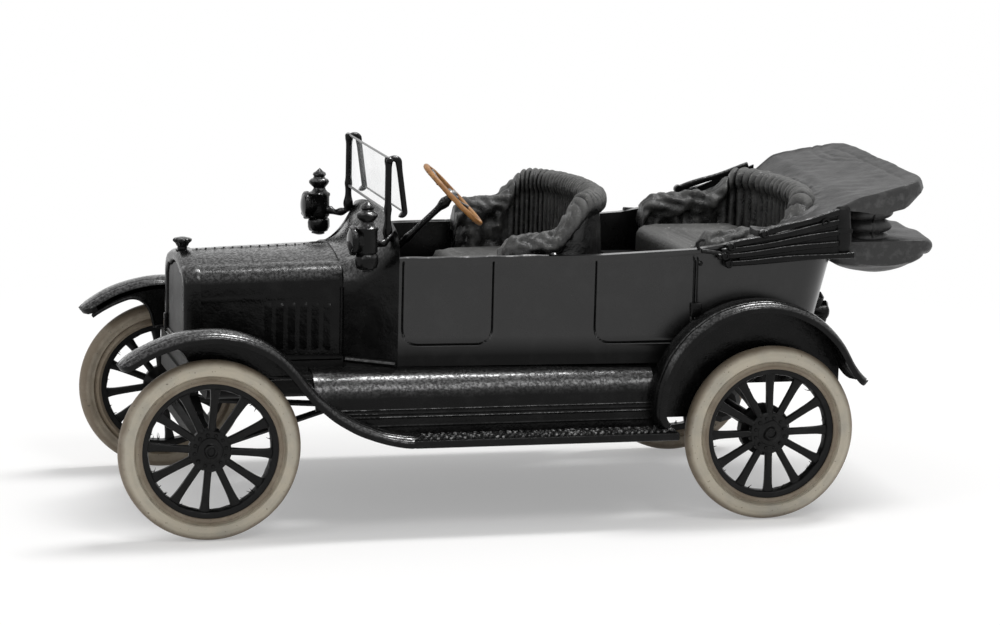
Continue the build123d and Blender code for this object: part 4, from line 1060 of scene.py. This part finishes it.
def horseshoe(front_x, bend_x, rear_x, half, power, straight, around):
    """Plan line of an arm, a half superellipse behind it and the other arm, with its outward normals."""
    arm = np.stack([np.linspace(front_x, bend_x, straight), np.full(straight, -half)], -1)
    turn = np.linspace(0, math.pi, around)
    across = np.cos(turn)
    back = np.stack([
        bend_x + (rear_x - bend_x) * np.sin(turn) ** power, -half * signed_power(across, 0.9),
    ], -1)
    line = np.concatenate([arm[:-1], back, (arm * (1, -1))[::-1][1:]])
    along = np.gradient(line, axis=0)
    along /= np.linalg.norm(along, axis=1, keepdims=True)
    return line, np.stack([along[:, 1], -along[:, 0]], -1)


def seat_back(front_x, bend_x, rear_x, rise_x, arm_top, top, pleats, fold, seed):
    """Section carried round the horseshoe, flat outside, rolled on top, pleated inside, and its painted
    shade: dark in the pleats' creases, lighter up the roll, on the inside and on the tufts' lumps.
    """
    half = seat_half - seat_thickness / 2
    line, normal = horseshoe(front_x + 0.5, bend_x, rear_x - seat_thickness / 2, half, 0.8, 70, 260)
    run = np.concatenate([[0], np.cumsum(np.linalg.norm(np.diff(line, axis=0), axis=1))])
    far_side = smooth_step(line[:, 1], -half, half)
    rise = smooth_step(line[:, 0], rise_x - 0.6 * far_side, rise_x + 2.0 - 0.6 * far_side)
    crest = arm_top + 0.55 * far_side * (1 - rise)
    crest = crest + (top - crest) * rise + 0.22 * smooth_step(line[:, 0], front_x, rise_x) * (1 - rise)
    ends = np.minimum(run, run[-1] - run)
    crest -= 0.5 * np.clip(1 - ends / 0.7, 0, 1) ** 2
    roll = 0.74 - 0.06 * rise
    angle = np.linspace(-0.35 * math.pi, 1.28 * math.pi, 44)
    drop = np.linspace(0, 1, 26)
    middle = crest[:, None] - roll[:, None]
    roll_n, roll_z = roll[:, None] * np.cos(angle), middle + roll[:, None] * np.sin(angle)
    inside_n = roll_n[:, -1:] * (1 - drop[1:]) - 0.5 * drop[1:]
    inside_z = roll_z[:, -1:] + (seat_low - roll_z[:, -1:]) * drop[1:]
    outside_n = roll_n[:, :1] + (0.55 - roll_n[:, :1]) * drop[::-1][:-1] ** 0.6
    outside_z = roll_z[:, :1] + (seat_low - roll_z[:, :1]) * drop[::-1][:-1]
    n = np.concatenate([outside_n, roll_n, inside_n], 1)
    z = np.concatenate([outside_z, roll_z, inside_z], 1)
    around = np.linspace(0, 1, n.shape[1])
    pleated = smooth_step(around, 0.30, 0.50) * smooth_step(rise, 0.2, 0.7)[:, None]
    crease = 1 - abs(np.sin(math.pi * run / run[-1] * pleats)) ** 0.7
    place = xyz(line[:, :1] + n, line[:, 1:] + n, z)
    lumps = 0.5 * ripple(place, 0.95, seed) + 0.3 * ripple(place, 0.5, seed + 1)
    tufted = (1 - smooth_step(rise, 0.3, 0.9))[:, None] * smooth_step(z, 11.4, 12.6)
    fill = -fold * crease[:, None] * pleated + lumps * (0.05 + 0.26 * tufted) - 0.06 * tufted
    over = np.stack([np.gradient(z, axis=1), -np.gradient(n, axis=1)], -1)
    over /= np.maximum(np.linalg.norm(over, axis=-1, keepdims=True), 1e-9)
    n, z = n + fill * over[..., 0], z + fill * over[..., 1]
    x = line[:, 0, None] + n * normal[:, 0, None]
    y = line[:, 1, None] + n * normal[:, 1, None]
    # painted shade and light for the shader: dark in the pleats' creases, lighter up the roll and on the
    # inside, lighter on the tufts' lumps
    ridge = 1 - crease[:, None] ** 0.7 * pleated
    shade_and_wear = np.maximum(smooth_step(z, middle - 0.5, crest[:, None] - 0.1), 0.5 * (around > 0.6)) * ridge
    shade_and_wear = shade_and_wear * (1 - 0.6 * tufted) + 0.5 * tufted * smooth_step(lumps, 0.1, 0.7)
    shade_and_wear = np.append(shade_and_wear.ravel(), [0, 0])
    return tube(xyz(x, y, z)), shade_and_wear


def cushion(front_x, rear_x, half, top, depth, seed):
    """Closed pillow between the arms: nested rounded outlines that rise over a rolled edge, and its painted
    light, higher on its top.
    """
    # inset from the outline and height from the top
    levels = [(0.12, -depth), (0.0, -depth + 0.3), (0.0, -0.7), (0.06, -0.4), (0.2, -0.18), (0.42, -0.06),
              (0.7, 0)]
    levels += [(inset, 0.0) for inset in np.linspace(1.0, half - 0.05, 30)]
    rings = []
    for inset, height in levels:
        keep = max(half - inset, 0.04)
        back = max((rear_x - front_x) / 2 - inset * (rear_x - front_x) / 2 / half, 0.04)
        middle = (front_x + rear_x) / 2
        ring = rounded_ring((middle - back, -keep), (middle + back, keep), min(0.6, 0.45 * min(keep, back)),
                            26)
        rings.append(np.insert(ring, 2, top + height, 1))
    grid = np.array(rings)
    upper = smooth_step(grid[..., 2], top - 0.9, top - 0.1)
    grid[..., 2] += upper * (0.09 * ripple(grid, 1.3, seed) + 0.08 * ripple(grid, 0.5, seed + 1))
    grid[..., 0] += 0.06 * ripple(grid, 0.8, seed + 2) * (1 - upper)
    # painted light: the mask is higher on the cushion's top than on its sides
    return tube(grid), np.append((0.45 + 0.35 * upper).ravel(), [0, 0.8])


seats = (
    # name, front, bend, rear, start of the rise, arm top, back top, pleats, pleat depth
    ("front", 14.9, 18.4, 22.0, 18.0, 14.55, 16.75, 58, 0.13),
    ("rear", 25.5, 30.6, 33.35, 30.2, 14.65, 16.72, 34, 0.2),
)
# front, rear, half width, top, depth
cushions = {"front": (14.0, 20.2, 4.75, 12.5, 0.9), "rear": (25.5, 31.4, 4.75, 13.65, 1.9)}
for seed, (name, *seat_sizes) in enumerate(seats):
    solid, shading_and_wear = seat_back(*seat_sizes, 51 + 10 * seed)
    piece(f"{name}_seat_back_roll", solid, upholstery, [f"{name}_seat_back"], 60,
          shading_and_wear)
    solid, shading_and_wear = cushion(*cushions[name], 55 + 10 * seed)
    piece(f"{name}_seat_cushion_pad", solid, upholstery, [f"{name}_seat_cushion"],
          60,
          shading_and_wear)


# Folded top: upper sheet, cloth folds, lower lobe, straps and irons

sheet_front = 28.6
top_line_x = np.array([sheet_front, 33.0, 38.2])
top_line_z = np.array([14.85, 16.55, 17.72])
sheet_half = 7.05
# outer edge of the sheet from its front left corner, each with its share of the way round
sheet_corners = np.array([
    (0, sheet_front, -sheet_half), (0.2, 33.2, -sheet_half), (0.34, 36.9, -6.7), (0.37, 37.7, -6.35),
    (0.395, 38.1, -5.7), (0.42, 38.25, -4.8), (0.5, 38.35, 0), (0.58, 38.25, 4.8), (0.605, 38.1, 5.7),
    (0.63, 37.7, 6.35), (0.66, 36.9, 6.7), (0.8, 33.2, sheet_half), (1, sheet_front, sheet_half),
])
fold_low, fold_high, fold_half = 13.75, 15.85, 5.15
lobe_middle_x, lobe_middle_z, lobe_half = 36.4, 13.9, 5.75
iron_rear, iron_outer = 32.9, 7.27
# front end and rear end of each iron, by place along the car and height
iron_bars = (
    (28.8, 15.02, iron_rear, 16.08), (27.0, 14.42, iron_rear, 15.55), (26.6, 14.08, iron_rear, 15.0),
    (26.4, 13.84, iron_rear, 14.45), (26.9, 13.50, 33.8, 13.86),
)
iron_eyes = ((28.85, 14.85), (27.05, 14.2), (26.75, 13.72), (26.95, 13.32))
hook_x, hook_z, hook_radius = 25.6, 14.28, 0.26


def top_height(x):
    """Height of the sheet's upper face along the car, with its knee rounded off."""
    return sum(np.interp(x + step, top_line_x, top_line_z) for step in (-0.6, -0.2, 0.2, 0.6)) / 4


def top_sheet():
    """Sheet from the seat's round opening to its outer edge, with sag, pressed arcs and rolled edges."""
    opening = horseshoe(sheet_front, 30.8, 33.25, 5.7, 0.75, 40, 120)[0]
    share = np.linspace(0, 1, len(opening))
    edge = np.stack([np.interp(share, sheet_corners[:, 0], sheet_corners[:, n]) for n in (1, 2)], -1)
    t = np.linspace(0, 1, 60)
    plan = opening[:, None] + (edge - opening)[:, None] * t[None, :, None]
    x, y = plan[..., 0], plan[..., 1]
    z = top_height(x)
    rear = smooth_step(x, 32.9, 34.4)
    z -= 0.16 * rear * np.sin(math.pi * np.clip((x - 33.4) / 5, 0, 1)) * (1 - (y / 7) ** 2)
    z += 0.04 * y * rear - 0.45 * (1 - rear) * smooth_step(x, sheet_front, sheet_front + 1)
    flat = xyz(x, y, 0)
    z += (0.05 * ripple(flat, 3.4, 71) + 0.018 * ripple(flat, 0.8, 72)) * (0.3 + 0.7 * rear)
    for radius in (5.0, 5.5):
        z -= 0.05 * bump_at(np.hypot(x - 41.6, y - 4.6), radius, 0.1) * smooth_step(y, -2.4, -1.2)
    z -= 0.05 * bump_at(edge[:, None, 0] - x, 0.85, 0.09) * rear * (abs(y) < 5.2)
    z += 0.16 * bump_at(t[None], 0.02, 0.07) * (1 + 0.5 * ripple(flat, 0.5, 73)) + 0.05 * bump_at(t[None],
                                                                                                  0.97,
                                                                                                  0.05)
    z -= 0.22 * smooth_step(t[None], 0.975, 1) * rear + 0.6 * smooth_step(-t[None], -0.06, 0) * rear
    thick = 0.3 + 0.75 * smooth_step(x, 33.0, 36.2) - 0.35 * smooth_step(x, 37.2, 38.4)
    inner_x = x - 0.3 * smooth_step(t[None], 0.8, 1) * smooth_step(x, 36.5, 38)
    inner = xyz(inner_x, y * (1 - 0.03 * smooth_step(t[None], 0.8, 1) * rear), z - thick)
    middle = xyz(x + 0.1 * (t[None] == 1) * rear, y, z - thick * 0.45)
    grid = np.concatenate([xyz(x, y, z), middle[:, -1:], inner[:, ::-1]], 1)
    return tube(grid)


def folded_cloth(seed):
    """Three fat rolls of cloth under the sheet: round ridges up a section, carried across the car."""
    y = np.sin(np.linspace(-math.pi / 2, math.pi / 2, 90))
    level = np.linspace(0, 1, 60)
    rolls = abs(np.sin(3 * math.pi * level)) ** 0.55
    rear = 36.45 + 0.5 * rolls + 0.25 * (1 - level)
    front = 34.6 - 0.25 * rolls
    x = np.concatenate([rear, front[::-1]])
    z = fold_low + (fold_high - fold_low) * np.concatenate([level, level[::-1]])
    round_end = np.sqrt(1 - abs(y) ** 12)[:, None]
    middle = (36.7 + 34.5) / 2
    across = fold_half + 0.3 * np.concatenate([rolls, rolls[::-1]])
    grid = xyz(middle + (x - middle) * round_end, across * y[:, None], z)
    grid[..., 0] += 0.10 * ripple(grid, 2.6, seed)
    grid[..., 2] += 0.07 * ripple(grid, 2.2, seed + 1)
    return tube(grid)


def top_lobe():
    """Bellied lobe: a flat plate with a lip over a lower keel, rounded off at both ends across the car."""
    y = np.linspace(-1, 1, 110)
    belly = arc_through((33.9, 12.85), (36.2, 12.12), (38.7, 13.1), 34)
    lip = arc_through((38.75, 13.2), (39.32, 13.75), (39.0, 14.2), 12)
    deck = np.stack([np.linspace(38.9, 34.2, 26), np.full(26, 14.28)], -1)
    front = np.stack([np.full(5, 34.15), np.linspace(14.2, 13.1, 5)], -1)
    section = np.concatenate([belly, lip, deck, front])
    reach = np.sqrt(1 - 0.985 * abs(y) ** 7)[:, None]
    forward = 0.8 * smooth_step(abs(y), 0.78, 0.9)[:, None] * smooth_step(-section[:, 0], -35.5, -34.1)
    x = lobe_middle_x + (section[:, 0] - lobe_middle_x) * (0.7 + 0.3 * reach) - forward
    z = lobe_middle_z + (section[:, 1] - lobe_middle_z) * (0.4 + 0.6 * reach)
    grid = xyz(x, lobe_half * y[:, None], z)
    crease = grid[..., 2] - (12.82 + 0.45 * np.clip((grid[..., 0] - 36.6) / 2.6, 0, 1) ** 2)
    grid[..., 1] *= 1 + 0.035 * bump_at(crease, 0.08, 0.14) - 0.03 * smooth_step(-crease, 0.05, 0.2)
    grid[..., 2] += 0.05 * ripple(grid, 2.4, 81)
    grid[..., 0] += 0.04 * ripple(grid, 2.0, 83)
    return tube(grid)


def strap(x, y, low, high, phase):
    """Wide strap round the irons' rear ends that holds the folded top together, with a keeper on it."""
    share = np.linspace(0, 1, 30)
    bow = 0.2 * np.sin(math.pi * share) ** 0.4
    path = xyz(x + 0.05 * np.sin(5 * share + phase), y - bow, low + (high - low) * share)
    middle = (low + high) / 2
    keeper = block((x - 0.42, y - 0.36, middle - 0.12), (x + 0.42, y - 0.1, middle + 0.12), 0.05)
    return join(tube_along(path, 0.38, 14, 0.35), keeper)


def iron_set(hooked):
    """Left bundle of flat irons that fan out forward, with eyes, a dark filling and a hook if asked."""
    parts = []
    for order, (front_x, front_z, rear_x, rear_z) in enumerate(iron_bars):
        share = np.linspace(0, 1, 24)
        rise = front_z + (rear_z - front_z) * share - 0.17 + 0.03 * np.sin(7 * share + order)
        path = xyz(front_x + (rear_x - front_x) * share, -iron_outer - 0.02 * (order % 2), rise)
        parts.append(strip_along(path, 0.165 + 0.015 * np.sin(9 * share + order), 0.15))
    eye = [(0, 0), (0.2, 0), (0.23, 0.05), (0.23, 0.36), (0.18, 0.43), (0.1, 0.45), (0.08, 0.38), (0, 0.36)]
    for eye_x, eye_z in iron_eyes:
        parts.append(revolved(eye, (eye_x, -7.1, eye_z), "y", -1, 24))
    washer = [(0.12, 0), (0.21, 0), (0.21, 0.1), (0.12, 0.1)]
    parts.append(revolved(washer, (32.15, -7.4, 15.42), "y", -1, 20, True))
    fill_x = np.linspace(27.6, 33.2, 30)
    share = (fill_x - 27.6) / 5.6
    high = 14.2 + (15.95 - 14.2) * share
    low = 13.35 + (13.5 - 13.35) * share
    parts.append(hanging_plate(fill_x, high, low, 7.22, 7.06))
    if hooked:
        angle = np.linspace(0.35 * math.pi, 1.35 * math.pi, 16)
        hook = xyz(hook_x + hook_radius * np.cos(angle), -sheet_half, hook_z + hook_radius * np.sin(angle))
        parts.append(tube_along(hook, 0.085, 8))
    parts.append(tube_along([(25.6, -7.0, 13.95), (26.1, -7.1, 13.9), (26.7, -7.25, 13.8)], 0.12, 8))
    return join(*parts)


piece("top_upper_sheet", top_sheet(), top_cloth, ["top_sheet"], 50)
piece("top_cloth_folds", folded_cloth(91), top_cloth, ["top_folds"], 50)
piece("top_lower_lobe", top_lobe(), top_cloth, ["top_lobe"], 50)
piece("top_straps", both(strap(33.25, -sheet_half, fold_low, 16.1, 0.4)), satin)
piece("irons_left_shape", iron_set(True), paint, ["top_irons_left"])
far_irons = mirrored(iron_set(False))
# the far irons lie higher, the more so toward the rear
far_irons[0][:, 2] += 0.15 + 0.06 * np.clip(far_irons[0][:, 0] - 26, 0, 8)
piece("irons_right_shape", far_irons, paint, ["top_irons_right"])


# Windscreen, steering and lamps

post_x, post_half, post_top = 9.5, 4.97, post_high[2] + 0.15
hang_foot = np.array([10.38, -post_half, 15.85])


def screen_post():
    """Left post with a broad foot on the cowl, a clamp halfway and a round head."""
    z = np.linspace(14.5, post_top - 0.1, 60)
    radius = 0.17 + 0.1 * bump_at(z, 14.9, 0.3) + 0.05 * bump_at(z, post_top - 0.3, 0.2)
    radius += 0.04 * bump_at(z, 16.0, 0.2)
    post = tube_along(xyz(post_x, -post_half, z), radius, 14)
    knob = revolved([(0, 0), (0.1, 0), (0.17, 0.06), (0.17, 0.16), (0.1, 0.24), (0, 0.25)],
                    (post_x, -post_half - 0.15, post_top - 0.25), "y", -1, 16)
    return join(post, knob)


def folded_bar():
    """Left side bar of the upper pane: a small arc over the hinge, then hanging behind the post."""
    angle = np.linspace(math.pi, 0, 12)
    arc = xyz(post_x + 0.26 + 0.26 * np.cos(angle), -post_half, post_top - 0.38 + 0.2 * np.sin(angle))
    share = np.linspace(0, 1, 30)[1:, None]
    hang = arc[-1] + (hang_foot - arc[-1]) * share
    turn = np.linspace(0, 0.72 * math.pi, 10)[1:]
    toe = xyz(10.23 + 0.15 * np.cos(turn), -post_half, hang_foot[2] - 0.15 * np.sin(turn))
    path = np.concatenate([arc, hang, toe])
    radius = 0.15 + 0.03 * bump_at(np.linspace(0, 1, len(path)), 0.2, 0.08)
    return tube_along(path, radius, 12)


def pane_rim(x, z, radius):
    """Thin rail across the car along a pane's edge."""
    y = np.linspace(-post_half + 0.12, post_half - 0.12, 12)
    return tube_along(xyz(x, y, z), radius, 8)


rails = join(pane_rim(post_x, post_top - 0.16, 0.06), pane_rim(post_x, 15.87, 0.07),
             pane_rim(10.42, 15.8, 0.05))
piece("windscreen_post_pair", both(screen_post()), paint, ["windscreen_posts"])
piece("windscreen_folded_bars", both(folded_bar()), paint, ["windscreen_upper_frame"])
piece("windscreen_rails", rails, silver_grey)

steering_hub = np.array([13.45, -2.6, 16.38])
steering_radius, steering_section = 2.02, 0.135


def on_column(points):
    """Places points given across, aside and along the steering column."""
    slope, crooked = math.radians(45.0), math.radians(7.5)
    column = np.array([math.cos(slope), 0, math.sin(slope)])
    across = np.array([0.0, math.cos(crooked), 0.0]) + math.sin(crooked) * column
    along = column * math.cos(crooked) - np.array([0.0, math.sin(crooked), 0.0])
    aside = np.cross(along, across)
    return steering_hub + points[..., :1] * across + points[..., 1:2] * aside + points[..., 2:] * along


def turned_on_column(profile, turns=64, closed=False):
    """A profile of radius and height turned about the steering column."""
    points, quads, triangles = revolved(profile, (0, 0, 0), "z", 1, turns, closed)
    return on_column(points), quads, triangles


def steering_rim():
    """Ring of round section, a little uneven."""
    angle = np.linspace(0, 2 * math.pi, 16, endpoint=False)
    section = np.stack([steering_radius + steering_section * np.cos(angle),
                        steering_section * np.sin(angle)], -1)
    return roughened(turned_on_column(section, 80, True), 0.012, 0.8, 95)


def steering_spider():
    """Four spokes that spread into the rim, and a stepped hub."""
    spokes = []
    for turn in range(4):
        angle = math.radians(45 + 90 * turn)
        reach = np.linspace(0.1, 1.95, 16)
        path = xyz(reach * math.cos(angle), reach * math.sin(angle), -0.12 + 0.1 * (reach / 2) ** 2)
        radius = 0.085 + 0.07 * (reach / 2) ** 6 + 0.05 * (1 - reach / 2) ** 4
        spokes.append(tube_along(on_column(path), radius, 10))
    hub = [(0, -0.2), (0.34, -0.2), (0.4, -0.12), (0.4, 0.02), (0.33, 0.1), (0.2, 0.12), (0.16, 0.2),
           (0, 0.22)]
    return join(turned_on_column(hub, 32), *spokes)


def steering_shaft():
    """Column with a thick black collar under the wheel and a ring lower down."""
    along = np.linspace(-8.2, -0.15, 40)
    radius = 0.17 + 0.13 * bump_at(along, -0.6, 0.28) + 0.05 * bump_at(along, -3.2, 0.15)
    return tube_along(on_column(xyz(0, 0, along)), radius, 14)


lamp_x, lamp_y, lamp_foot, lamp_height = 8.16, -6.28, 13.05, 3.6
lens_z = lamp_foot + lamp_height * 0.44


def side_lamp():
    """Left lamp: oil font, body with rims, crown with a finial, drum with a bulging face, and its arm."""
    profile = [
        (0, 0.0), (0.26, 0.0), (0.36, 0.05), (0.34, 0.12), (0.5, 0.2), (0.58, 0.38), (0.6, 0.62),
        (0.56, 0.82),
        (0.46, 0.92), (0.53, 0.98), (0.56, 1.06), (0.54, 1.4), (0.54, 2.05), (0.58, 2.12), (0.57, 2.24),
        (0.44, 2.34), (0.36, 2.44), (0.32, 2.55), (0.42, 2.66), (0.52, 2.78), (0.54, 2.9), (0.46, 3.0),
        (0.34, 3.05), (0.30, 3.14), (0.36, 3.24), (0.33, 3.34), (0.2, 3.42), (0.09, 3.52), (0, lamp_height),
    ]
    body = revolved(profile, (lamp_x, lamp_y, lamp_foot), "z", 1, 40)
    drum = [(0, 0.1), (0.5, 0.1), (0.56, 0.4), (0.66, 0.52), (0.74, 0.58), (0.76, 0.68), (0.74, 0.80),
            (0.68, 0.86),
            (0.6, 0.84), (0, 0.84)]
    ring = revolved(drum, (lamp_x, lamp_y, lens_z), "x", -1, 40)
    arm_x = np.linspace(8.3, 9.75, 16)
    share = (arm_x - 8.3) / 1.45
    arm = xyz(arm_x, -6.2 + (6.2 - 5.0) * share, lens_z - 0.35 * np.sin(math.pi * share) + 0.1 * share)
    knobs = 0.15 + 0.07 * bump_at(share, 0.25, 0.08) + 0.08 * bump_at(share, 0.62, 0.1)
    return roughened(join(body, ring, tube_along(arm, knobs, 10)), 0.035, 0.5, 97, (1, 1, 0.5))


def lamp_face():
    """Bulging lens in the left lamp's drum."""
    profile = [(0, 0.0), (0.6, 0.0), (0.6, 0.03), (0.5, 0.09), (0.35, 0.14), (0.18, 0.17), (0, 0.175)]
    return revolved(profile, (lamp_x - 0.82, lamp_y, lens_z), "x", -1, 32)


def tail_cluster():
    """Lumpy lamp on the tail's left: a stubby drum with knobs above and below."""
    low, high = node_box("tail_lamp")
    middle = (low + high) / 2
    drum_profile = [
        (0, -0.75), (0.3, -0.75), (0.42, -0.6), (0.44, -0.1), (0.5, 0.05), (0.5, 0.4), (0.4, 0.5), (0, 0.5),
    ]
    drum = revolved(drum_profile, middle, "x", 1, 28)
    cap = revolved([(0, -0.5), (0.3, -0.45), (0.4, -0.1), (0.34, 0.3), (0.38, 0.5), (0.22, 0.8), (0, 0.85)],
                   middle + (-0.1, 0, 0.2), "z", 1, 24)
    foot = revolved([(0, -0.9), (0.3, -0.85), (0.42, -0.5), (0.3, 0), (0, 0)], middle + (0.05, 0, 0), "z",
                    1, 24)
    return roughened(join(drum, cap, foot), 0.05, 0.6, 99)


piece("tail_lamp_shape", tail_cluster(), paint, ["tail_lamp"])
piece("steering_rim_ring", steering_rim(), tan, ["steering_wheel"])
piece("steering_spider", steering_spider(), bright_paint_and_highlight)
piece("steering_shaft", steering_shaft(), paint, ["steering_column"])
piece("side_lamp_left_shape", side_lamp(), paint, ["side_lamp_left"], 45)
piece("side_lamp_right_shape", mirrored(side_lamp()), paint, ["side_lamp_right"], 45)
piece("side_lamp_faces", both(lamp_face()), lens_glass)


# Studio: pale floor, soft lamps and the camera at the photograph's angle

camera_lens, camera_distance = 107.83, 159.17
camera_azimuth, camera_elevation, camera_roll = -14.644, 10.091, 1.431
camera_target = (16.796, 0, 9.662)
lamp_target = (0, 0, 0.008)
floor_half = 3.0
white_from, white_at, white_least = 0.035, 0.07, 0.32
world_seen, world_light = 1.0, 0.45


def look_from(azimuth, elevation, roll, distance, target):
    """Matrix rows of a camera that looks at a target: right, up and back, turned by roll, and its place."""
    a, e, r = (math.radians(v) for v in (azimuth, elevation, roll))
    back = np.array([math.sin(a) * math.cos(e), -math.cos(a) * math.cos(e), math.sin(e)])
    right = np.array([math.cos(a), math.sin(a), 0])
    up = np.cross(back, right)
    turned_right = right * math.cos(r) + up * math.sin(r)
    turned_up = up * math.cos(r) - right * math.sin(r)
    matrix = np.eye(4)
    matrix[:3, 0], matrix[:3, 1], matrix[:3, 2] = turned_right, turned_up, back
    matrix[:3, 3] = np.asarray(target) + back * distance
    return matrix


def add_camera():
    """Camera at the photograph's angle and distance."""
    data = bpy.data.cameras.new("camera")
    data.sensor_width = 36.0
    data.lens = camera_lens
    data.clip_start, data.clip_end = 0.01, 10
    made = bpy.data.objects.new("camera", data)
    bpy.context.scene.collection.objects.link(made)
    target = (np.array(camera_target) + (front_axle_x, 0, 0)) * mm
    rows = look_from(camera_azimuth, camera_elevation, camera_roll, camera_distance * mm, target)
    made.matrix_world = Matrix(rows.tolist())
    bpy.context.scene.camera = made


def add_lamp(name, azimuth, elevation, distance, width, height, power):
    """Soft rectangular lamp that faces the model."""
    data = bpy.data.lights.new(name, "AREA")
    data.shape = "RECTANGLE"
    data.size = width
    data.size_y = height
    data.energy = power
    made = bpy.data.objects.new(name, data)
    bpy.context.scene.collection.objects.link(made)
    made.matrix_world = Matrix(look_from(azimuth, elevation, 0, distance, lamp_target).tolist())


def seen_rays(tree):
    """1 for rays that are seen straight, mirrored or through glass, 0 for those that only light."""
    kinds = ("Is Camera Ray", "Is Glossy Ray", "Is Transmission Ray")
    straight, mirrored_ray, through = (Wire.add(tree, "ShaderNodeLightPath", {}, {},
                                                kind) for kind in kinds)
    return straight.maths("ADD", straight + mirrored_ray, through, True)


def add_floor():
    """Pale floor that keeps the shadow near the model and turns plain white away from it."""
    corners = [(x * floor_half, y * floor_half, 0) for x, y in ((-1, -1), (1, -1), (1, 1), (-1, 1))]
    mesh = bpy.data.meshes.new("floor_sheet")
    mesh.from_pydata(corners, [], [(0, 1, 2, 3)])
    made = bpy.data.objects.new("floor_sheet", mesh)
    bpy.context.scene.collection.objects.link(made)
    material = bpy.data.materials.new("pale floor")
    material.use_nodes = True
    tree = material.node_tree
    tree.nodes.remove(tree.nodes["Principled BSDF"])
    place = Wire.add(tree, "ShaderNodeTexCoord", {}, {}, "Object")
    away = Wire.add(tree, "ShaderNodeVectorMath", {"operation": "LENGTH"}, {0: place}, 1)
    lit = Wire.add(tree, "ShaderNodeBsdfDiffuse", {}, {"Color": grey(0.94, (1, 0.995, 0.99))})
    white = Wire.add(tree, "ShaderNodeEmission", {}, {"Color": (1, 1, 1, 1), "Strength": 1.0})
    share = (away.above(white_from, white_at) * (1 - white_least) + white_least) * seen_rays(tree)
    both_ways = Wire.add(tree, "ShaderNodeMixShader", {}, {0: share, 1: lit, 2: white})
    tree.links.new(both_ways.socket, tree.nodes["Material Output"].inputs["Surface"])
    mesh.materials.append(material)


def add_world():
    """Even pale surroundings, plain white behind the model."""
    world = bpy.data.worlds.new("studio")
    bpy.context.scene.world = world
    world.use_nodes = True
    tree = world.node_tree
    level = seen_rays(tree) * (world_seen - world_light) + world_light
    background = tree.nodes["Background"]
    background.inputs["Color"].default_value = (1, 1, 1, 1)
    tree.links.new(level.socket, background.inputs["Strength"])


add_camera()
for lamp in (
    # name, azimuth and elevation in degrees, distance, width and height in metres, power in watts
    ("key lamp", 108, 72, 0.42, 0.07, 0.2, 1.1),
    ("side lamp", 20, 52, 0.45, 0.12, 0.12, 0.25),
    ("front lamp", -70, 30, 0.5, 0.2, 0.2, 0.25),
):
    add_lamp(*lamp)
add_floor()
add_world()
bpy.context.scene.view_settings.view_transform = "Standard"
